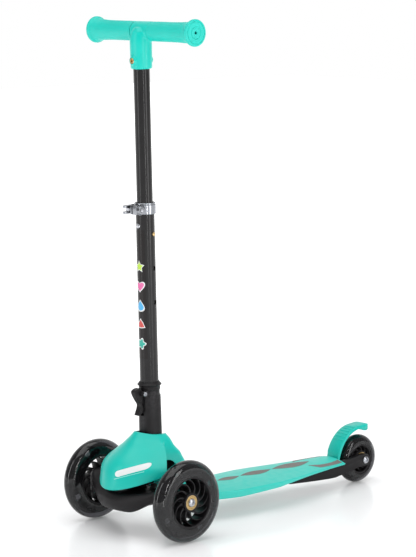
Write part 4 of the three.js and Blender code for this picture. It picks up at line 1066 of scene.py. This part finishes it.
heart = [(0.062 * 16 * math.sin(t) ** 3,
          0.066 * (13 * math.cos(t) - 5 * math.cos(2 * t) - 2 * math.cos(3 * t)))
         for t in [2 * math.pi * (i + 0.5) / 48 for i in range(48)]]
drop = [(0.72 * math.cos(t) * (1 - math.sin(t)) ** 0.7, 1.0 * math.sin(t) - 0.05)
        for t in [2 * math.pi * (i + 0.5) / 40 for i in range(40)]]
print_shapes = [("star", polygon(5, 0.52), (0.48, 0.72, 0.03)), ("heart", heart, (0.78, 0.13, 0.38)),
                ("drop", drop, (0.05, 0.42, 0.78)), ("triangle", polygon(3, 0.62), (0.6, 0.05, 0.04)),
                ("flower", polar(lambda a: 0.82 + 0.18 * math.cos(5 * a)), (0.0, 0.42, 0.32))]
FILM_HALF = 10
wrapped("print_film", [(-FILM_HALF, -96), (FILM_HALF, -96), (FILM_HALF, 93), (-FILM_HALF, 93)],
        251, 0.12, film_black)
for number, (label, outline, colour) in enumerate(print_shapes):
    height = 290.6 - 28.3 * number
    wrapped(f"print_{label}_edge", [(x * 9, y * 9) for x, y in outline], height, 0.2, white_print)
    ink = finish(f"print_{label}_ink", colour, tuple(c * 0.85 for c in colour), (0.8, 0.8, 0.8), 0.3,
                 wear=0.1)
    wrapped(f"print_{label}", [(x * 7.2, y * 7.2) for x, y in outline], height, 0.28, ink)


# ---- Height clamp -----------------------------------------------------------------------------
# A chromed split band with a lip ring on top. A bolt with a knurled nut draws its ears together
# when the over-centre lever, which wraps half round the band, is pressed home.
CLAMP_MIDDLE = 374.5
CLAMP_BOLT_Y = -19.4
CLAMP_PIN_X = -13.4
band_low, band_high = CLAMP_MIDDLE - 7.5, CLAMP_MIDDLE + 6.5
band_profile = [(14.15, band_low), (15.5, band_low), (15.9, band_low + 0.4), (15.9, band_high - 0.9),
                (15.5, band_high - 0.5), (14.6, band_high - 0.4), (14.6, band_high + 0.9),
                (15.2, band_high + 1), (15.5, band_high + 1.4), (15.5, band_high + 2),
                (15.1, band_high + 2.4), (14.15, band_high + 2.4)]
band = turned("band", band_profile, STEM, chrome, 96)
bolt_z = CLAMP_MIDDLE - 0.5
upright_place = STEM @ Matrix.Translation((CLAMP_PIN_X / 1000, CLAMP_BOLT_Y / 1000, bolt_z / 1000))
cross_place = STEM @ Matrix.Translation((0, CLAMP_BOLT_Y / 1000, bolt_z / 1000)) @ ALONG_X
ears = slab("clamp_ears", [(-7, -24.6), (9.6, -24.6), (9.6, -13.4), (-7, -13.4)], band_low + 0.5,
            band_high - 0.6, STEM, chrome)
bevelled(ears, 1.2, 3, 30)
carved(ears, rod("lever_room", 10.9, -10, 10, upright_place, chrome, 64),
       rod("tube_room", 14.5, band_low - 5, band_high + 5, STEM, chrome, 96))
united(band, ears)
carved(band, slab("split", [(-1.1, -40), (1.1, -40), (1.1, -5), (-1.1, -5)], band_low - 5, band_high + 5,
                  STEM, chrome),
       rod("bolt_room", 2.9, -20, 20, cross_place, chrome))
settle(band, "stem", "chrome_metal", "clamp_collar")

nut_profile = [(2.8, 10), (6, 10), (6.4, 10.5), (6.4, 14.4), (5.6, 15.5), (2.9, 15.6), (2.8, 15.3)]
knob = turned("knob", nut_profile, cross_place, chrome, 64)
knurl = slab("knurl", [(6.1, -0.35), (6.8, 0), (6.1, 0.35)], 10.7, 14.3, ALONG_X, chrome, 20)
repeated_round(knurl, 24, 15, chrome, Vector((0, 0, 0)))
knurl.data.transform(STEM @ Matrix.Translation((0, CLAMP_BOLT_Y / 1000, bolt_z / 1000)))
settle(combined("clamp_knob_turned", knob, knurl), "clamp_knob", "chrome_metal", "clamp_nut")

bolt_profile = [(0, -10), (2.5, -10), (2.5, 16.2), (2.1, 16.7), (0, 16.8)]
eye_profile = [(2.4, -2.4), (4, -2.4), (4.4, -2), (4.4, 2), (4, 2.4), (2.4, 2.4)]
clamp_screw = combined("clamp_screw", turned("shank", bolt_profile, cross_place, zinc, 40),
                       turned("eye", eye_profile, upright_place, zinc, 40))
settle(clamp_screw, "stem", "steel", "clamp_bolt")

hand_outer = smooth_rows([[-9.5, -25.4], [-11, -28.9], [-13.4, -30], [-16.6, -28.6], [-19.4, -24],
                          [-20.6, -16], [-20.8, -4], [-19.8, 8], [-17.6, 17], [-14.4, 20.4]], 4)
hand_inner = smooth_rows([[-13, 18.4], [-15.2, 13], [-17.2, 5], [-17.8, -3], [-17.2, -10], [-14, -14.6],
                          [-9.2, -15.4]], 4)
hand = slab("hand", [*hand_outer, *hand_inner], bolt_z - 6, bolt_z + 6, STEM, chrome, 40)
bevelled(hand, 1.0, 3, 55)
fork = slab("fork", [(-24, -40), (CLAMP_PIN_X + 8, -40), (CLAMP_PIN_X + 8, -12.6), (-24, -12.6)],
            bolt_z - 2.8, bolt_z + 2.8, STEM, chrome)
carved(hand, fork, rod("pin_room", 2.4, -9, 9, upright_place, chrome))
settle(hand, "clamp_handle", "chrome_metal", "clamp_lever")


# ---- Handlebar tee ----------------------------------------------------------------------------
# One turquoise moulding: a socket over the upper tube that blends into the middle of the bar,
# with a boss in front for the clamping bolt's head and one behind for its nut.
HANDLE_HEIGHT, HANDLE_BACK, CROSS_BOLT_HEIGHT = 629, 8, 588
BAR_PLACE = STEM @ Matrix.Translation((0, HANDLE_BACK / 1000, HANDLE_HEIGHT / 1000)) @ ALONG_X
tee = turned("tee_bar", [(0, -100), (10.3, -100), (10.3, -18.4), (14.1, -18.2), (14.3, -16), (14.3, 16),
                         (14.1, 18.2), (10.3, 18.4), (10.3, 100), (0, 100)], BAR_PLACE, turquoise, 64)
tee_socket = turned("tee_socket", [(0, 575.6), (14.4, 575.6), (15.5, 576.8), (15.8, 600), (16, 614),
                                   (15.4, 621), (13.4, 629), (9, 634.6), (0, 636.6)], STEM, turquoise, 64)
BOLT_ALONG_Y = (STEM @ Matrix.Translation((0, 0, CROSS_BOLT_HEIGHT / 1000))
                @ Matrix.Rotation(math.radians(90), 4, "X"))
tee_bosses = turned("tee_bosses", [(0, -18.5), (5.6, -18.5), (6, -18), (6, 18), (5.6, 18.5), (0, 18.5)],
                    BOLT_ALONG_Y, turquoise, 48)
united(tee, tee_socket, tee_bosses)
blend = tee.modifiers.new("blend", "REMESH")
blend.mode = "VOXEL"
blend.voxel_size = 0.0008
soften = tee.modifiers.new("soften", "SMOOTH")
soften.factor = 0.5
soften.iterations = 26
plain(tee)
carved(tee, rod("tube_room", 12.1, 560, 605.4, STEM, turquoise, 96),
       rod("head_room", 4.7, 15.2, 30, BOLT_ALONG_Y, turquoise),
       rod("bolt_room", 2.9, -30, 30, BOLT_ALONG_Y, turquoise),
       slab("nut_room", arc((0, 0), 5, 0, 300, 5), -30, -15, BOLT_ALONG_Y, turquoise))
tee.data.materials.clear()
tee.data.materials.append(turquoise)
settle(tee, "handle", "green_plastic", "handlebar_tee")

head_profile = [(0, -18.2), (2.5, -18.2), (2.5, 15.5), (4.1, 15.5), (4.3, 15.8), (4.3, 17.4), (3.7, 18),
                (0, 18)]
cross_bolt = turned("cross_bolt", head_profile, BOLT_ALONG_Y, brass, 48)
carved(cross_bolt, slab("hexagon", arc((0, 0), 2.5, 0, 300, 5), 16, 20, BOLT_ALONG_Y, brass))
settle(cross_bolt, "handle", "brass_metal", "handlebar_bolt")


# ---- Grips ------------------------------------------------------------------------------------
# Soft turquoise sleeves pushed on the bar's ends. Raised diamonds cover their length, and each
# flares to a flat end disc with two turned rings and a small vent hole.
grip_rubber = finish("turquoise_grip", (0.0, 0.54, 0.455), (0.0, 0.49, 0.41), (0.08, 0.64, 0.56), 0.5,
                     grain_scale=1600, grain_depth=0.00003)
grip_rows = smooth_rows([[13.4, 18.4], [14.1, 19.2], [13.9, 28], [13.8, 40], [13.8, 55], [13.9, 70],
                         [14.4, 86], [15.2, 95], [16.6, 100.6], [18.3, 103.4]], 14)
end_rows = [[19, 104.6], [19.25, 105.4], [19.25, 107.6], [18.9, 108.5], [18, 108.9], [16.4, 109],
            [16.1, 108.4], [15.3, 108.4], [15, 109], [9.4, 109], [9.1, 108.5], [8.4, 108.5], [8.1, 109],
            [2.6, 109], [2.2, 108.6], [2.2, 106.6], [10.7, 104.6], [10.7, 18.4]]
GRIP_SEGMENTS, DIAMONDS_ROUND, DIAMOND_LENGTH = 192, 22, 3.9


def diamond_height(along, turn):
    if not 26 < along < 92:
        return 0
    u, v = turn * DIAMONDS_ROUND, along / DIAMOND_LENGTH
    tilt = [abs((value % 1) - 0.5) * 2 for value in (u + v, u - v)]
    return 0.45 * min(1, max(0, 2.2 * (0.86 - max(tilt)))) * min(1, (along - 26) / 2, (92 - along) / 2)


for side, sign in (("left", 1), ("right", -1)):
    rows = [*grip_rows, *end_rows]
    points, faces = [], []
    for radius, along in rows:
        for i in range(GRIP_SEGMENTS):
            turn = i / GRIP_SEGMENTS
            reach = radius + (diamond_height(along, turn) if radius > 12 else 0)
            spot = (reach * math.cos(2 * math.pi * turn), reach * math.sin(2 * math.pi * turn),
                    sign * along)
            points.append(BAR_PLACE @ (Vector(spot) / 1000))
    for j in range(len(rows)):
        for i in range(GRIP_SEGMENTS):
            a, b = j * GRIP_SEGMENTS + i, j * GRIP_SEGMENTS + (i + 1) % GRIP_SEGMENTS
            shift = GRIP_SEGMENTS if j + 1 < len(rows) else -j * GRIP_SEGMENTS
            faces.append([a, b, b + shift, a + shift])
    settle(mesh_piece(f"grip_sleeve_{side}", points, faces, grip_rubber, 40), "handle", "green_plastic",
           f"grip_{side}")


# ---- Scene update -----------------------------------------------------------------------------
bpy.context.view_layer.update()
